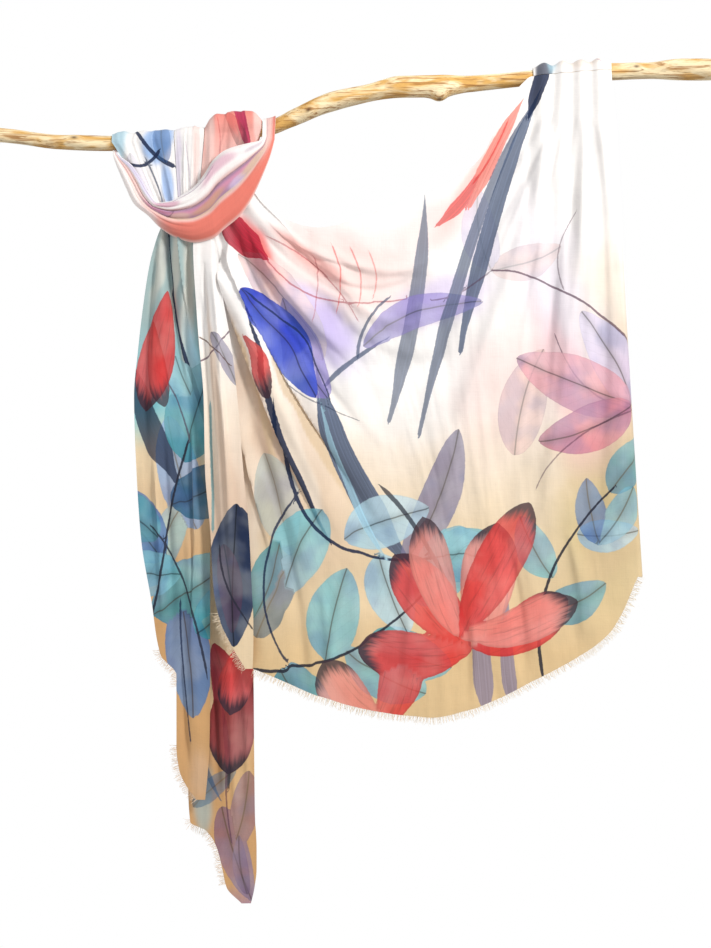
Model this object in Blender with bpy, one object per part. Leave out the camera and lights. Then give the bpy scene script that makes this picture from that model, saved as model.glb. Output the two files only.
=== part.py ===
"""Cotton scarf wound and draped over a driftwood branch.

Sizes and tables are in millimetres: X to the right, Y away from the viewer, Z up. The origin is on the
branch's axis, where the branch is held. Each stretch of cloth is one closed wall, worked out from a short
table of rows or columns, to which the folds and pleats are added. Meshes are written in metres.
"""
import math

import bmesh
import bpy
import numpy as np

MM = 0.001
WALL = 1.6             # thickness of a cloth wall
SEAM = 0.3             # gap between two pieces that meet
CLOSE = 1.1            # from the branch to cloth that lies on it, on average over the branch's facets
BRANCH_SIDES = 12
BRANCH_RINGS = 44

SADDLE_U = 0.78        # columns of the front panel past this one start on the branch
SADDLE_PLEATS = 4
PLEAT_RISE = 2.6       # half the height of the gathers there
KNOT_U = 0.38          # columns up to this one start in the knot
KNOT_WAVES = 4.5

FOLD_STEPS = 12        # straight steps that stand for a fold's curve
FOLD_START = 0.6       # a fold's width at its start, as a share of the stated one
FOLD_END = 1.4
FOLD_COLUMNS = 4       # columns of the quarter-round at the right-hand fold
FOLD_REACH = 8.0       # how far it stands out past the panel
FLAT_SHARE = 0.6       # share of that reach at the top, where it lies flat
FOLD_MIDDLE = -1.0     # y where the front and rear quarter-rounds meet

STRAND_LENGTH = 13.0   # eyelash fringe
STRAND_WIDTH = 1.3
COMB_GAP = 0.9         # from the cloth's edge to the strip that the strands stand on
COMB_STRIP = 1.8
COMB_FACE = 0.35       # half the strip's thickness, as a share of WALL
STRAND_SWAY = 0.22     # how far a strand leans along the edge, as a share of its length

WRAP_ROWS = 18
WRAP_WAVE = 3.0        # depth of the folds in a stretch over the branch
LEG = 0.36             # share of such a stretch that is its front leg, and its rear one
REAR_RISE = 6.0        # how much higher the rear leg ends than the front one
LAP_ROWS = 6           # rows of the band where it lies on the branch

# The branch: centre height and diameter along its length, and its small knots.
BRANCH = [
    # x, z, y, diameter
    (-571, -66, 6, 20.0),
    (-532, -70, 4, 19.5),
    (-476, -77, 0, 20.0),
    (-406, -79, -2, 20.5),
    (-294, -71, 0, 20.5),
    (-182, -57, 2, 21.0),
    (-150, -43, 1, 25.0),
    (-98, -21, 0, 28.0),
    (-48, -9, 0, 25.5),
    (0, 0, 0, 31.0),
    (56, 1, 2, 32.0),
    (98, 4, 1, 22.0),
    (150, 9, -1, 21.0),
    (238, 18, 0, 24.0),
    (300, 22, 2, 24.0),
    (342, 23, 3, 22.5),
    (398, 25, 2, 30.5),
    (447, 24, 0, 30.0),
]
BRANCH_KNOTS = [
    # x, degrees round the axis (0 up, 90 towards the viewer), length, height
    (-455, 60, 12, 3.0),
    (-128, 95, 9, 2.5),
    (55, 150, 11, 9.0),
    (330, 70, 12, 3.0),
]

# The front panel's columns: where each starts on its upper edge, passes its middle and meets the hem.
PANEL_COLUMNS = [
    # u, top x, y, z, middle x, y, z, hem x, y, z
    (0.00, -270, -15, -205, -247, -14, -480, -205, -14, -812),
    (0.20, -243, -20, -182, -133, -21, -483, -77, -18, -862),
    (0.36, -210, -20, -144, -30, -25, -457, 36, -20, -880),
    (0.40, -183, -20, -174, -8, -25, -452, 58, -20, -880),
    (0.46, -115, -22, -199, 17, -26, -445, 87, -20, -873),
    (0.53, -24, -23, -174, 50, -27, -438, 119, -21, -862),
    (0.60, 66, -22, -138, 84, -27, -431, 150, -21, -848),
    (0.66, 116, -20, -96, 112, -27, -425, 176, -22, -835),
    (0.71, 142, -18, -36, 138, -26, -420, 200, -22, -823),
    (0.78, 186, -14, 13, 182, -25, -410, 232, -22, -805),
    (0.90, 244, -14, 18, 252, -22, -382, 291, -20, -764),
    (1.00, 290, -14, 21, 309, -18, -333, 331, -16, -686),
]

# Folds are soft creases along a curve through three points. Minus depths come forward.
PANEL_FOLDS = [
    # start x, z, middle x, z, end x, z, width left, right, depth at start, at end
    (-243, -260, -196, -368, -67, -661, 6, 30, -10, -9),
    (-250, -262, -222, -400, -150, -640, 14, 8, 5, 6),
    (-212, -240, -130, -440, -10, -650, 16, 8, 5, 8),
    (-216, -420, -160, -580, -120, -690, 8, 20, -5, -6),
    (-206, -222, -140, -320, -66, -402, 8, 26, -8, -6),
    (-196, -250, -98, -370, 40, -400, 20, 12, 5, 6),
    (-120, -215, -10, -330, 110, -250, 12, 26, -6, -6),
    (-150, -250, 0, -385, 130, -330, 22, 12, 6, 5),
    (219, -10, 178, -72, 96, -238, 10, 7, 8, 6),
    (205, -20, 150, -95, 60, -210, 10, 8, -6, -6),
    (226, -40, 140, -300, 56, -550, 12, 24, -7, -7),
    (214, -60, 105, -250, 5, -480, 20, 9, 5, 7),
    (245, -40, 225, -240, 126, -665, 24, 12, 6, 9),
    (258, -40, 240, -330, 180, -700, 10, 26, -7, -8),
    (270, -60, 285, -330, 262, -700, 24, 10, 5, 8),
    (284, -60, 308, -330, 304, -640, 8, 14, -5, -5),
    (-60, -700, -50, -790, -30, -870, 20, 28, -6, -7),
    (60, -650, 85, -760, 100, -868, 30, 22, 7, 9),
]

# The rear panel's columns, from the fold at its right to its free edge.
REAR_COLUMNS = [
    # u, top x, y, z, middle x, y, z, hem x, y, z
    (0.00, 290, 14, 21, 309, 13, -333, 331, 12, -686),
    (0.25, 262, 15, 20, 250, 18, -330, 262, 16, -676),
    (0.55, 232, 15, 17, 170, 20, -325, 160, 18, -668),
    (0.80, 206, 15, 15, 110, 18, -320, 70, 16, -655),
    (1.00, 186, 14, 13, 70, 16, -315, 10, 14, -640),
]
REAR_FOLDS = [
    # start x, z, middle x, z, end x, z, width left, right, depth at start, at end
    (200, -30, 120, -300, 50, -640, 12, 22, 6, 8),
    (222, -30, 165, -300, 130, -655, 20, 12, -5, -6),
    (245, -30, 220, -330, 190, -660, 12, 24, 6, 9),
    (265, -30, 265, -330, 255, -670, 20, 12, -4, -5),
]

# Tails and strips: left and right edge at each height.
TAIL_LEFT = [
    # z, left x, right x, y
    (-180, -322, -284, -18.8),
    (-207, -336, -280, -18.8),
    (-245, -348, -279, -15),
    (-298, -357, -278, -13),
    (-365, -365, -275, -13),
    (-433, -371, -270, -13),
    (-483, -370, -268, -13),
    (-550, -367, -266, -13),
    (-634, -361, -265, -13),
    (-718, -347, -265, -13),
    (-794, -334, -265, -13),
    (-822, -312, -265, -13),
    (-921, -312, -266, -13),
    (-954, -308, -268, -13),
    (-977, -298, -270, -13),
    (-996, -284, -272, -13),
]
TAIL_LEFT_FOLDS = [
    # start x, z, middle x, z, end x, z, width left, right, depth at start, at end
    (-327, -185, -330, -300, -345, -640, 12, 8, -6, -6),
    (-318, -190, -321, -280, -272, -430, 7, 10, 6, 5),
    (-308, -185, -304, -290, -300, -560, 8, 7, -5, -4),
    (-296, -200, -290, -280, -284, -380, 5, 6, 6, 3),
    (-332, -480, -322, -640, -318, -800, 10, 6, 5, 6),
    (-296, -620, -290, -800, -288, -960, 7, 9, -4, -4),
]
TAIL_RIGHT = [
    # z, left x, right x, y
    (-200, -270, -246, -12.5),
    (-225, -271, -242, -9),
    (-298, -273, -233, 4),
    (-438, -268, -219, 6),
    (-578, -265, -208, 6),
    (-718, -286, -206, 6),
    (-858, -297, -205, 6),
    (-970, -297, -204, 6),
    (-1030, -294, -203, 6),
    (-1042, -272, -202, 6),
    (-1068, -256, -201, 6),
    (-1096, -249, -201, 6),
    (-1122, -243, -204, 6),
    (-1144, -222, -209, 6),
]
TAIL_RIGHT_FOLDS = [
    # start x, z, middle x, z, end x, z, width left, right, depth at start, at end
    (-262, -250, -252, -480, -250, -1040, 6, 10, -4, -6),
    (-250, -250, -238, -480, -228, -1060, 8, 6, 4, 6),
    (-278, -760, -276, -850, -272, -1000, 8, 6, 4, 5),
]
PLEAT = [
    # z, left x, right x, y
    (-206, -286, -262, -22.2),
    (-224, -288, -256, -23),
    (-250, -287, -252, -27),
    (-298, -284, -246, -29),
    (-354, -280, -236, -30),
    (-438, -273, -226, -30),
    (-536, -271, -218, -30),
    (-620, -264, -210, -30),
    (-704, -259, -206, -30),
    (-746, -250, -204, -30),
    (-780, -234, -204, -30),
    (-812, -215, -205, -30),
]
PLEAT_FOLDS = [
    # start x, z, middle x, z, end x, z, width left, right, depth at start, at end
    (-276, -300, -264, -470, -252, -720, 8, 5, 5, 6),
    (-262, -260, -243, -460, -230, -740, 5, 9, -3, -4),
]

# The stretches over the branch at the knot, from the front leg's end, up and over, to the rear leg's end.
WRAPS = [
    # name, left x, right x on the branch, left x, right x at the knot, z of both there, folds, lift
    ("wrap_blue", -402, -315.7, -346, -308.7, -166, -172, 3, 4.0),
    ("wrap_white", -315, -273.6, -308, -281.4, -172, -160, 1, 4.0),
    ("wrap_coral", -272.8, -193.4, -280.6, -209, -160, -114, 3, 9.0),
]
LEG_DEPTH = -17.0      # y at the front leg's end
REAR_LEG_DEPTH = -5.0  # y at the rear leg's end, drawn forward under the branch

# The band that loops in front of them: its outer and inner edge at stations from the left end to the right.
BAND = [
    # outer x, z, inner x, z, y at the edges, bulge of the rolls
    (-400, -97, -393.5, -96, -16.0, 0.5),
    (-397, -106, -386, -103, -22.0, 1.5),
    (-390, -123, -374, -112, -25.0, 3.0),
    (-381, -144, -360, -132, -25.0, 5.0),
    (-370, -166, -349, -151, -25.0, 7.0),
    (-350, -183, -336, -165, -25.0, 9.0),
    (-334, -199, -320, -163, -25.0, 12.0),
    (-312, -213, -304, -155, -25.0, 14.0),
    (-286, -220, -286, -142, -25.0, 15.0),
    (-262, -215, -272, -125, -25.0, 15.0),
    (-243, -200, -260, -106, -25.0, 14.0),
    (-222, -182, -243, -92, -25.0, 12.0),
    (-206, -158, -226, -86, -25.0, 10.0),
    (-192, -128, -210, -82, -24.0, 7.0),
    (-180, -96, -196, -78, -21.0, 3.0),
    (-175, -76, -192, -71, -17.5, 1.5),
]
BAND_ENDS = [
    # outer x, inner x, lift, degrees round the branch (0 in front, 90 on top) at the end, at the start
    (-401, -394, 0.2, -115, -55),
    (-174, -192, 1.6, 198, 0),
]
BAND_PROFILE = [
    # share of the width from the outer edge, share of the bulge
    (0.00, 0.00),
    (0.14, 0.72),
    (0.30, 1.00),
    (0.45, 0.78),
    (0.50, 0.50),
    (0.58, 0.55),
    (0.67, 0.60),
    (0.72, 0.52),
    (0.84, 0.95),
    (0.94, 0.66),
    (1.00, 0.00),
]

COLOURS = {
    # name: (red, green, blue in linear light, roughness)
    "branch": (0.62, 0.42, 0.20, 0.65),
    "wrap_blue": (0.55, 0.66, 0.84, 0.9),
    "wrap_white": (0.86, 0.86, 0.90, 0.9),
    "wrap_coral": (0.85, 0.42, 0.40, 0.9),
    "knot_band": (0.84, 0.47, 0.44, 0.9),
    "front_panel": (0.86, 0.78, 0.68, 0.9),
    "peak_wrap": (0.88, 0.86, 0.84, 0.9),
    "rear_panel": (0.82, 0.72, 0.58, 0.9),
    "edge_pleat": (0.84, 0.76, 0.66, 0.9),
    "tail_left": (0.20, 0.46, 0.50, 0.9),
    "tail_right": (0.60, 0.16, 0.16, 0.9),
    "fringe": (0.80, 0.76, 0.68, 0.9),
}


def clear_objects():
    for old in list(bpy.data.objects):
        bpy.data.objects.remove(old, do_unlink=True)


def through(knots, values, at):
    """Smooth curve through the values at the knots, with no overshoot between them."""
    knots = np.asarray(knots, float)
    values = np.asarray(values, float)
    at = np.clip(np.asarray(at, float), knots[0], knots[-1])
    step = np.diff(knots)
    slope = np.diff(values) / step
    tangent = np.zeros(len(knots))
    tangent[0] = slope[0]
    tangent[-1] = slope[-1]
    for i in range(1, len(knots) - 1):
        if slope[i - 1] * slope[i] > 0:
            before = 2 * step[i] + step[i - 1]
            after = step[i] + 2 * step[i - 1]
            tangent[i] = (before + after) / (before / slope[i - 1] + after / slope[i])
    i = np.clip(np.searchsorted(knots, at, side="right") - 1, 0, len(step) - 1)
    t = (at - knots[i]) / step[i]
    rise = tangent[i] * step[i] * t * (1 - t) ** 2 - tangent[i + 1] * step[i] * t * t * (1 - t)
    return values[i] * (1 - t) ** 2 * (1 + 2 * t) + values[i + 1] * t * t * (3 - 2 * t) + rise


def ease(start, end, value):
    """0 before start, 1 after end, smooth between."""
    t = np.clip((np.asarray(value, float) - start) / (end - start), 0, 1)
    return t * t * (3 - 2 * t)


def add_mesh(name, points, faces, colour):
    """One object with a closed mesh, from points in millimetres, and with its own material."""
    mesh = bpy.data.meshes.new(name)
    mesh.from_pydata([tuple(MM * float(c) for c in p) for p in points], [], faces)
    work = bmesh.new()
    work.from_mesh(mesh)
    bmesh.ops.triangulate(work, faces=[f for f in work.faces if len(f.verts) == 4])
    bmesh.ops.recalc_face_normals(work, faces=work.faces)
    work.to_mesh(mesh)
    work.free()
    mesh.shade_smooth()
    mesh.set_sharp_from_angle(angle=math.radians(50))
    obj = bpy.data.objects.new(name, mesh)
    bpy.context.scene.collection.objects.link(obj)
    red, green, blue, rough = COLOURS[colour]
    material = bpy.data.materials.new(name)
    material.use_nodes = True
    shader = material.node_tree.nodes["Principled BSDF"]
    shader.inputs["Base Color"].default_value = (red, green, blue, 1)
    shader.inputs["Roughness"].default_value = rough
    shader.inputs["Metallic"].default_value = 0
    mesh.materials.append(material)


def sheet_normals(grid):
    down = np.gradient(grid, axis=0)
    across = np.gradient(grid, axis=1)
    normal = np.cross(across, down)
    return normal / np.linalg.norm(normal, axis=2, keepdims=True)


def add_wall(name, grid):
    """A cloth wall of thickness WALL about a grid of mid-surface points, closed round its rim."""
    rows, cols = grid.shape[:2]
    offset = sheet_normals(grid) * WALL / 2
    points = np.concatenate([(grid + offset).reshape(-1, 3), (grid - offset).reshape(-1, 3)])
    back = rows * cols
    faces = []
    for r in range(rows - 1):
        for c in range(cols - 1):
            a = r * cols + c
            quad = (a, a + 1, a + cols + 1, a + cols)
            faces.append(quad)
            faces.append(tuple(back + i for i in reversed(quad)))
    rim = [c for c in range(cols)]
    rim += [r * cols + cols - 1 for r in range(1, rows)]
    rim += [(rows - 1) * cols + c for c in range(cols - 2, -1, -1)]
    rim += [r * cols for r in range(rows - 2, 0, -1)]
    for a, b in zip(rim, rim[1:] + rim[:1]):
        faces.append((b, a, back + a, back + b))
    add_mesh(name, points, faces, name)


def fold_depth(folds, x, z):
    """Sum of the folds' depths at x, z. A fold fades in and out at its ends."""
    total = np.zeros(np.broadcast(x, z).shape)
    for x0, z0, x1, z1, x2, z2, left, right, depth0, depth1 in folds:
        t = np.linspace(0, 1, FOLD_STEPS + 1)
        bend_x = 2 * x1 - (x0 + x2) / 2
        bend_z = 2 * z1 - (z0 + z2) / 2
        path_x = (1 - t) ** 2 * x0 + 2 * t * (1 - t) * bend_x + t * t * x2
        path_z = (1 - t) ** 2 * z0 + 2 * t * (1 - t) * bend_z + t * t * z2
        nearest = np.full(total.shape, 1e9)
        along = np.zeros(total.shape)
        side = np.zeros(total.shape)
        for i in range(len(t) - 1):
            run_x = path_x[i + 1] - path_x[i]
            run_z = path_z[i + 1] - path_z[i]
            run = run_x ** 2 + run_z ** 2
            share = np.clip(((x - path_x[i]) * run_x + (z - path_z[i]) * run_z) / run, 0, 1)
            off_x = x - path_x[i] - share * run_x
            off_z = z - path_z[i] - share * run_z
            distance = np.hypot(off_x, off_z)
            closer = distance < nearest
            nearest = np.where(closer, distance, nearest)
            along = np.where(closer, t[i] + share * t[1], along)
            side = np.where(closer, run_x * off_z - run_z * off_x, side)
        grow = FOLD_START + (FOLD_END - FOLD_START) * along
        width = np.where(side > 0, right, left) * grow
        fade = ease(-0.08, 0.2, along) * (1 - ease(0.7, 1.06, along))
        depth = (depth0 + (depth1 - depth0) * along) * fade
        total += depth * np.exp(-(nearest / width) ** 2)
    return total


def branch_at(x, what):
    rows = np.array(BRANCH, float)
    column = {"z": 1, "y": 2, "diameter": 3}[what]
    return through(rows[:, 0], rows[:, column], x)


def branch_radius(x, angle):
    """Radius of the branch at x, in the direction angle (0 up, positive towards the viewer)."""
    radius = branch_at(x, "diameter") / 2
    for knot_x, degrees, length, height in BRANCH_KNOTS:
        turn = np.abs((angle - math.radians(degrees) + math.pi) % (2 * math.pi) - math.pi)
        radius = radius + height * np.exp(-((x - knot_x) / length) ** 2 - (turn / 0.55) ** 2)
    return radius


def add_branch():
    ends = (BRANCH[0][0], BRANCH[-1][0])
    stations = np.linspace(ends[0], ends[1], BRANCH_RINGS)
    angles = np.arange(BRANCH_SIDES) * 2 * math.pi / BRANCH_SIDES
    points = []
    for x in stations:
        for angle in angles:
            radius = branch_radius(x, angle)
            y = branch_at(x, "y") - radius * math.sin(angle)
            z = branch_at(x, "z") + radius * math.cos(angle)
            points.append((x, y, z))
    faces = []
    for s in range(len(stations) - 1):
        for k in range(BRANCH_SIDES):
            a = s * BRANCH_SIDES + k
            b = s * BRANCH_SIDES + (k + 1) % BRANCH_SIDES
            faces.append((a, b, b + BRANCH_SIDES, a + BRANCH_SIDES))
    last = (len(stations) - 1) * BRANCH_SIDES
    faces.append(tuple(reversed(range(BRANCH_SIDES))))
    faces.append(tuple(last + k for k in range(BRANCH_SIDES)))
    add_mesh("branch", points, faces, "branch")


def column_grid(table, u, v):
    """Points of a panel hung in columns: each is a curve from its top, by its middle, to the hem."""
    rows = np.array(table, float)
    place = [through(rows[:, 0], rows[:, k], u) for k in range(1, 10)]
    top = np.stack(place[0:3], axis=1)[None, :, :]
    middle = np.stack(place[3:6], axis=1)[None, :, :]
    hem = np.stack(place[6:9], axis=1)[None, :, :]
    v = v[:, None, None]
    return top * (1 - v) * (1 - 2 * v) + middle * 4 * v * (1 - v) + hem * v * (2 * v - 1)


def saddle_radius(x):
    """Mid-wall radius of cloth that lies close on the branch at x."""
    return branch_at(x, "diameter") / 2 + CLOSE + WALL / 2


def saddle_pleats(u):
    """Height of the gathers over the branch at the peak."""
    turn = 2 * math.pi * SADDLE_PLEATS * (u - SADDLE_U) / (1 - SADDLE_U)
    return PLEAT_RISE * (1 - np.cos(turn))


def saddle_x(u):
    rows = np.array(PANEL_COLUMNS, float)
    return through(rows[:, 0], rows[:, 1], u)


def panel_u():
    """Columns of the front panel, closer where the pleats are."""
    knot = np.linspace(0, KNOT_U, 13)
    neck = np.linspace(KNOT_U, SADDLE_U, 13)
    peak = np.linspace(SADDLE_U, 1, 17)
    return np.concatenate([knot, neck[1:], peak[1:]])


def front_panel_grid(u, v):
    grid = column_grid(PANEL_COLUMNS, u, v)
    x = grid[:, :, 0]
    z = grid[:, :, 2]
    held = ease(0.0, 0.12, v)[:, None]
    on_branch = ease(SADDLE_U - 0.02, SADDLE_U, u)[None, :]
    depth = fold_depth(PANEL_FOLDS, x, z) * (1 - on_branch * (1 - held))
    knot_part = (1 - ease(KNOT_U - 0.04, KNOT_U + 0.04, u))[None, :]
    fade = np.exp(-3.2 * v)[:, None]
    depth += PLEAT_RISE * np.sin(2 * math.pi * KNOT_WAVES * u / KNOT_U)[None, :] * knot_part * fade
    grid[:, :, 1] += depth
    # Over the saddle the panel starts at the front of the branch, with the same gathers as the saddle.
    radius = saddle_radius(saddle_x(u)) + saddle_pleats(u)
    front = branch_at(saddle_x(u), "y") - radius
    gathers = (PLEAT_RISE - saddle_pleats(u))[None, :] * (1 - ease(0.1, 0.75, v))[:, None] * on_branch
    down = (1 - ease(0.0, 0.10, v))[:, None] * on_branch
    grid[:, :, 1] = (grid[:, :, 1] + gathers) * (1 - down) + front[None, :] * down
    grid[:, :, 2] += (branch_at(saddle_x(u), "z") - SEAM / 2 - grid[0, :, 2])[None, :] * down
    return grid


def side_fold(grid, sign):
    """Adds the quarter-round by which a panel turns into the fold at its right-hand side.

    sign is -1 on the front panel, 1 on the rear one. Where the branch passes, the two stay apart."""
    rows = grid.shape[0]
    edge = grid[:, -1:, :] if sign < 0 else grid[:, :1, :]
    curled = ease(0.05, 0.16, np.linspace(0, 1, rows))[:, None]
    k = np.arange(1, FOLD_COLUMNS + 1)[None, :] / FOLD_COLUMNS
    depth = FOLD_MIDDLE + sign * SEAM / 2 - edge[:, :, 1]
    flat_x = edge[:, :, 0] + FLAT_SHARE * FOLD_REACH * k
    turn = k * math.pi / 2
    round_x = edge[:, :, 0] + FOLD_REACH * np.sin(turn)
    x = flat_x * (1 - curled) + round_x * curled
    y = edge[:, :, 1] + depth * (1 - np.cos(turn)) * curled
    z = np.repeat(edge[:, :, 2], FOLD_COLUMNS, axis=1)
    extra = np.stack([x, y, z], axis=2)
    if sign < 0:
        return np.concatenate([grid, extra], axis=1)
    return np.concatenate([extra[:, ::-1, :], grid], axis=1)


def add_front_panel():
    v = np.linspace(0, 1, 21) ** 1.1
    u = panel_u()
    grid = front_panel_grid(u, v)
    grid = side_fold(grid, -1)
    add_wall("front_panel", grid)
    return grid


def add_peak_wrap():
    """The gathered stretch over the branch, from its front to its rear."""
    u = np.concatenate([np.linspace(SADDLE_U, 1, 17), [1.0]])
    x = saddle_x(u)
    x[-1] += FLAT_SHARE * FOLD_REACH
    radius = saddle_radius(x) + saddle_pleats(u)
    gap = 1.5 * SEAM / radius[None, :]
    angle = gap + np.linspace(0, 1, 9)[:, None] * (math.pi - 2 * gap)
    y = branch_at(x, "y")[None, :] - radius[None, :] * np.cos(angle)
    z = branch_at(x, "z")[None, :] + radius[None, :] * np.sin(angle)
    grid = np.stack([np.broadcast_to(x[None, :], y.shape), y, z], axis=2)
    add_wall("peak_wrap", grid)


def add_rear_panel():
    u = np.linspace(0, 1, 15)
    v = np.linspace(0, 1, 13)
    grid = column_grid(REAR_COLUMNS, u, v)
    depth = fold_depth(REAR_FOLDS, grid[:, :, 0], grid[:, :, 2])
    grid[:, :, 1] += depth * ease(0.0, 0.12, v)[:, None]
    saddle_u = 1 - u * (1 - SADDLE_U)
    x = saddle_x(saddle_u)
    radius = saddle_radius(x) + saddle_pleats(saddle_u)
    rear = branch_at(x, "y") + radius
    down = (1 - ease(0.0, 0.10, v))[:, None]
    gathers = (saddle_pleats(saddle_u) - PLEAT_RISE)[None, :] * (1 - ease(0.1, 0.6, v))[:, None]
    grid[:, :, 1] = (grid[:, :, 1] + gathers) * (1 - down) + rear[None, :] * down
    grid[:, :, 2] += (branch_at(x, "z") - SEAM / 2 - grid[0, :, 2])[None, :] * down
    grid = side_fold(grid, 1)
    add_wall("rear_panel", grid)
    return grid


def strip_grid(table, folds, rows, cols):
    """A tail or strip: cross rows between its left and right edge, with folds along it."""
    data = np.array(table, float)
    heights = -data[:, 0]
    spread = np.linspace(0, 1, len(heights))
    along = np.linspace(0, 1, rows)
    z = through(spread, heights, along)
    left = through(heights, data[:, 1], z)
    right = through(heights, data[:, 2], z)
    y = through(heights, data[:, 3], z)
    t = np.linspace(0, 1, cols)[None, :]
    x = left[:, None] * (1 - t) + right[:, None] * t
    z = np.repeat(-z[:, None], cols, axis=1)
    y = y[:, None] + fold_depth(folds, x, z)
    return np.stack([x, y, z], axis=2)


def add_strip(name, table, folds, rows, cols):
    grid = strip_grid(table, folds, rows, cols)
    add_wall(name, grid)
    return grid


def wrap_grid(left, right, knot_left, knot_right, knot_z_left, knot_z_right, folds, lift, rows, cols):
    """Cloth over the branch: up the front leg, round the branch, and down the rear leg to the knot."""
    t = np.linspace(0, 1, cols)
    s = np.linspace(0, 1, rows)[:, None]
    x_branch = left + (right - left) * t
    x_knot = knot_left + (knot_right - knot_left) * t
    z_knot = knot_z_left + (knot_z_right - knot_z_left) * t
    wave = np.sin(math.pi * folds * t) ** 2 * (0.75 + 0.25 * np.sin(5 * t + 1))
    radius = saddle_radius(x_branch)
    axis_z = branch_at(x_branch, "z")
    axis_y = branch_at(x_branch, "y")
    turn = np.clip((s - LEG) / (1 - 2 * LEG), 0, 1) * math.pi
    depth = WRAP_WAVE + (lift - WRAP_WAVE) * np.sin(turn) ** 2
    out = radius + wave * depth
    front = np.clip(1 - s / LEG, 0, 1)
    rear = np.clip((s - 1 + LEG) / LEG, 0, 1)
    y = axis_y - np.cos(turn) * out
    z = axis_z + np.sin(turn) * out
    y = y + front * (LEG_DEPTH - WRAP_WAVE * (wave - 0.5) - y)
    y = y + rear ** 1.6 * (REAR_LEG_DEPTH - y)
    z = z + front * (z_knot - axis_z) + rear * (z_knot + REAR_RISE - axis_z)
    x = x_branch + (x_knot - x_branch) * (front + rear)
    return np.stack([x, y, z], axis=2)


def add_wraps():
    for name, *sizes, folds, lift in WRAPS:
        add_wall(name, wrap_grid(*sizes, folds, lift, WRAP_ROWS, 4 * folds + 3))


def band_on_branch(outer, inner, lift, end, start, cols):
    """Rows of the band where it lies on the branch, from its hidden end to where it leaves the branch."""
    x = np.linspace(outer, inner, cols)[None, :]
    turn = np.radians(np.linspace(end, start, LAP_ROWS))[:, None]
    radius = saddle_radius(x) + lift
    y = branch_at(x, "y") - radius * np.cos(turn)
    z = branch_at(x, "z") + radius * np.sin(turn)
    return np.stack([np.repeat(x, LAP_ROWS, axis=0), y, z], axis=2)


def band_grid(rows, cols):
    data = np.array(BAND, float)
    spread = np.linspace(0, 1, len(data))
    along = np.linspace(0, 1, rows)
    place = [through(spread, data[:, k], along)[:, None] for k in range(6)]
    outer_x, outer_z, inner_x, inner_z, y, bulge = place
    t = np.linspace(0, 1, cols)[None, :]
    x = outer_x * (1 - t) + inner_x * t
    z = outer_z * (1 - t) + inner_z * t
    profile = np.array(BAND_PROFILE, float)
    y = y - bulge * through(profile[:, 0], profile[:, 1], t)
    front = np.stack([x, y, z], axis=2)
    left_end = band_on_branch(*BAND_ENDS[0], cols)
    right_end = band_on_branch(*BAND_ENDS[1], cols)[::-1]
    return np.concatenate([left_end, front, right_end])


def add_comb(name, edge, inner, strands):
    """A row of strands fused to a narrow strip, which is parted from the cloth's edge that it follows.

    edge: points along the cloth's edge; inner: points inside it, from which the strands lead away."""
    lengths = np.linalg.norm(np.diff(edge, axis=0), axis=1)
    length = np.concatenate([[0], np.cumsum(lengths)])
    pitch = length[-1] / strands
    starts = pitch * np.arange(strands) + (pitch - STRAND_WIDTH) / 2
    stations = np.sort(np.concatenate([starts, starts + STRAND_WIDTH, [0, length[-1]]]))
    rail = np.stack([np.interp(stations, length, edge[:, k]) for k in range(3)], axis=1)
    inside = np.stack([np.interp(stations, length, inner[:, k]) for k in range(3)], axis=1)
    along = np.gradient(rail, stations, axis=0)
    along /= np.linalg.norm(along, axis=1, keepdims=True)
    away = rail - inside
    away -= along * np.sum(away * along, axis=1, keepdims=True)
    away /= np.linalg.norm(away, axis=1, keepdims=True)
    face = np.cross(along, away) * WALL * COMB_FACE
    start = rail + away * COMB_GAP
    end = start + away * COMB_STRIP
    points = np.stack([start + face, start - face, end - face, end + face], axis=1).reshape(-1, 3).tolist()
    faces = [(0, 1, 2, 3)]
    for i in range(len(stations) - 1):
        a = 4 * i
        b = a + 4
        for k in (0, 1, 3):
            faces.append((a + k, b + k, b + (k + 1) % 4, a + (k + 1) % 4))
        root = (a + 2, b + 2, b + 3, a + 3)
        if i % 2 == 0:
            faces.append(root)
            continue
        sway = STRAND_SWAY * math.sin(2.4 * i) * along[i] + 0.1 * math.sin(3.1 * i) * face[i]
        reach = STRAND_LENGTH * (0.9 + 0.12 * math.sin(1.7 * i))
        points.append(((end[i] + end[i + 1]) / 2 + (away[i] + sway) * reach).tolist())
        for k in range(4):
            faces.append((root[k], root[(k + 1) % 4], len(points) - 1))
    last = 4 * (len(stations) - 1)
    faces.append((last + 3, last + 2, last + 1, last))
    add_mesh(name, points, faces, "fringe")


def left_edge(grid, top, bottom):
    """The left edge of a strip between two heights, with points inside it."""
    rows = [r for r in range(len(grid)) if bottom <= grid[r, 0, 2] <= top]
    return grid[rows, 0], grid[rows, 2]


def build():
    clear_objects()
    add_branch()
    add_wraps()
    add_wall("knot_band", band_grid(28, 13))
    panel = add_front_panel()
    add_peak_wrap()
    rear = add_rear_panel()
    pleat = add_strip("edge_pleat", PLEAT, PLEAT_FOLDS, 19, 8)
    tail_left = add_strip("tail_left", TAIL_LEFT, TAIL_LEFT_FOLDS, 30, 10)
    tail_right = add_strip("tail_right", TAIL_RIGHT, TAIL_RIGHT_FOLDS, 28, 9)
    hem = slice(0, -FOLD_COLUMNS)
    add_comb("hem_fringe", panel[-1, hem], panel[-2, hem], 66)
    rear_hem = slice(FOLD_COLUMNS, None)
    add_comb("rear_hem_fringe", rear[-1, rear_hem], rear[-2, rear_hem], 26)
    add_comb("pleat_fringe", *left_edge(pleat, -735, -812), 9)
    add_comb("tail_left_corner_fringe", *left_edge(tail_left, -785, -840), 5)
    add_comb("tail_left_fringe", *left_edge(tail_left, -918, -1000), 9)
    add_comb("tail_right_fringe", *left_edge(tail_right, -1025, -1118), 12)


build()
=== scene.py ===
import math

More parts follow.
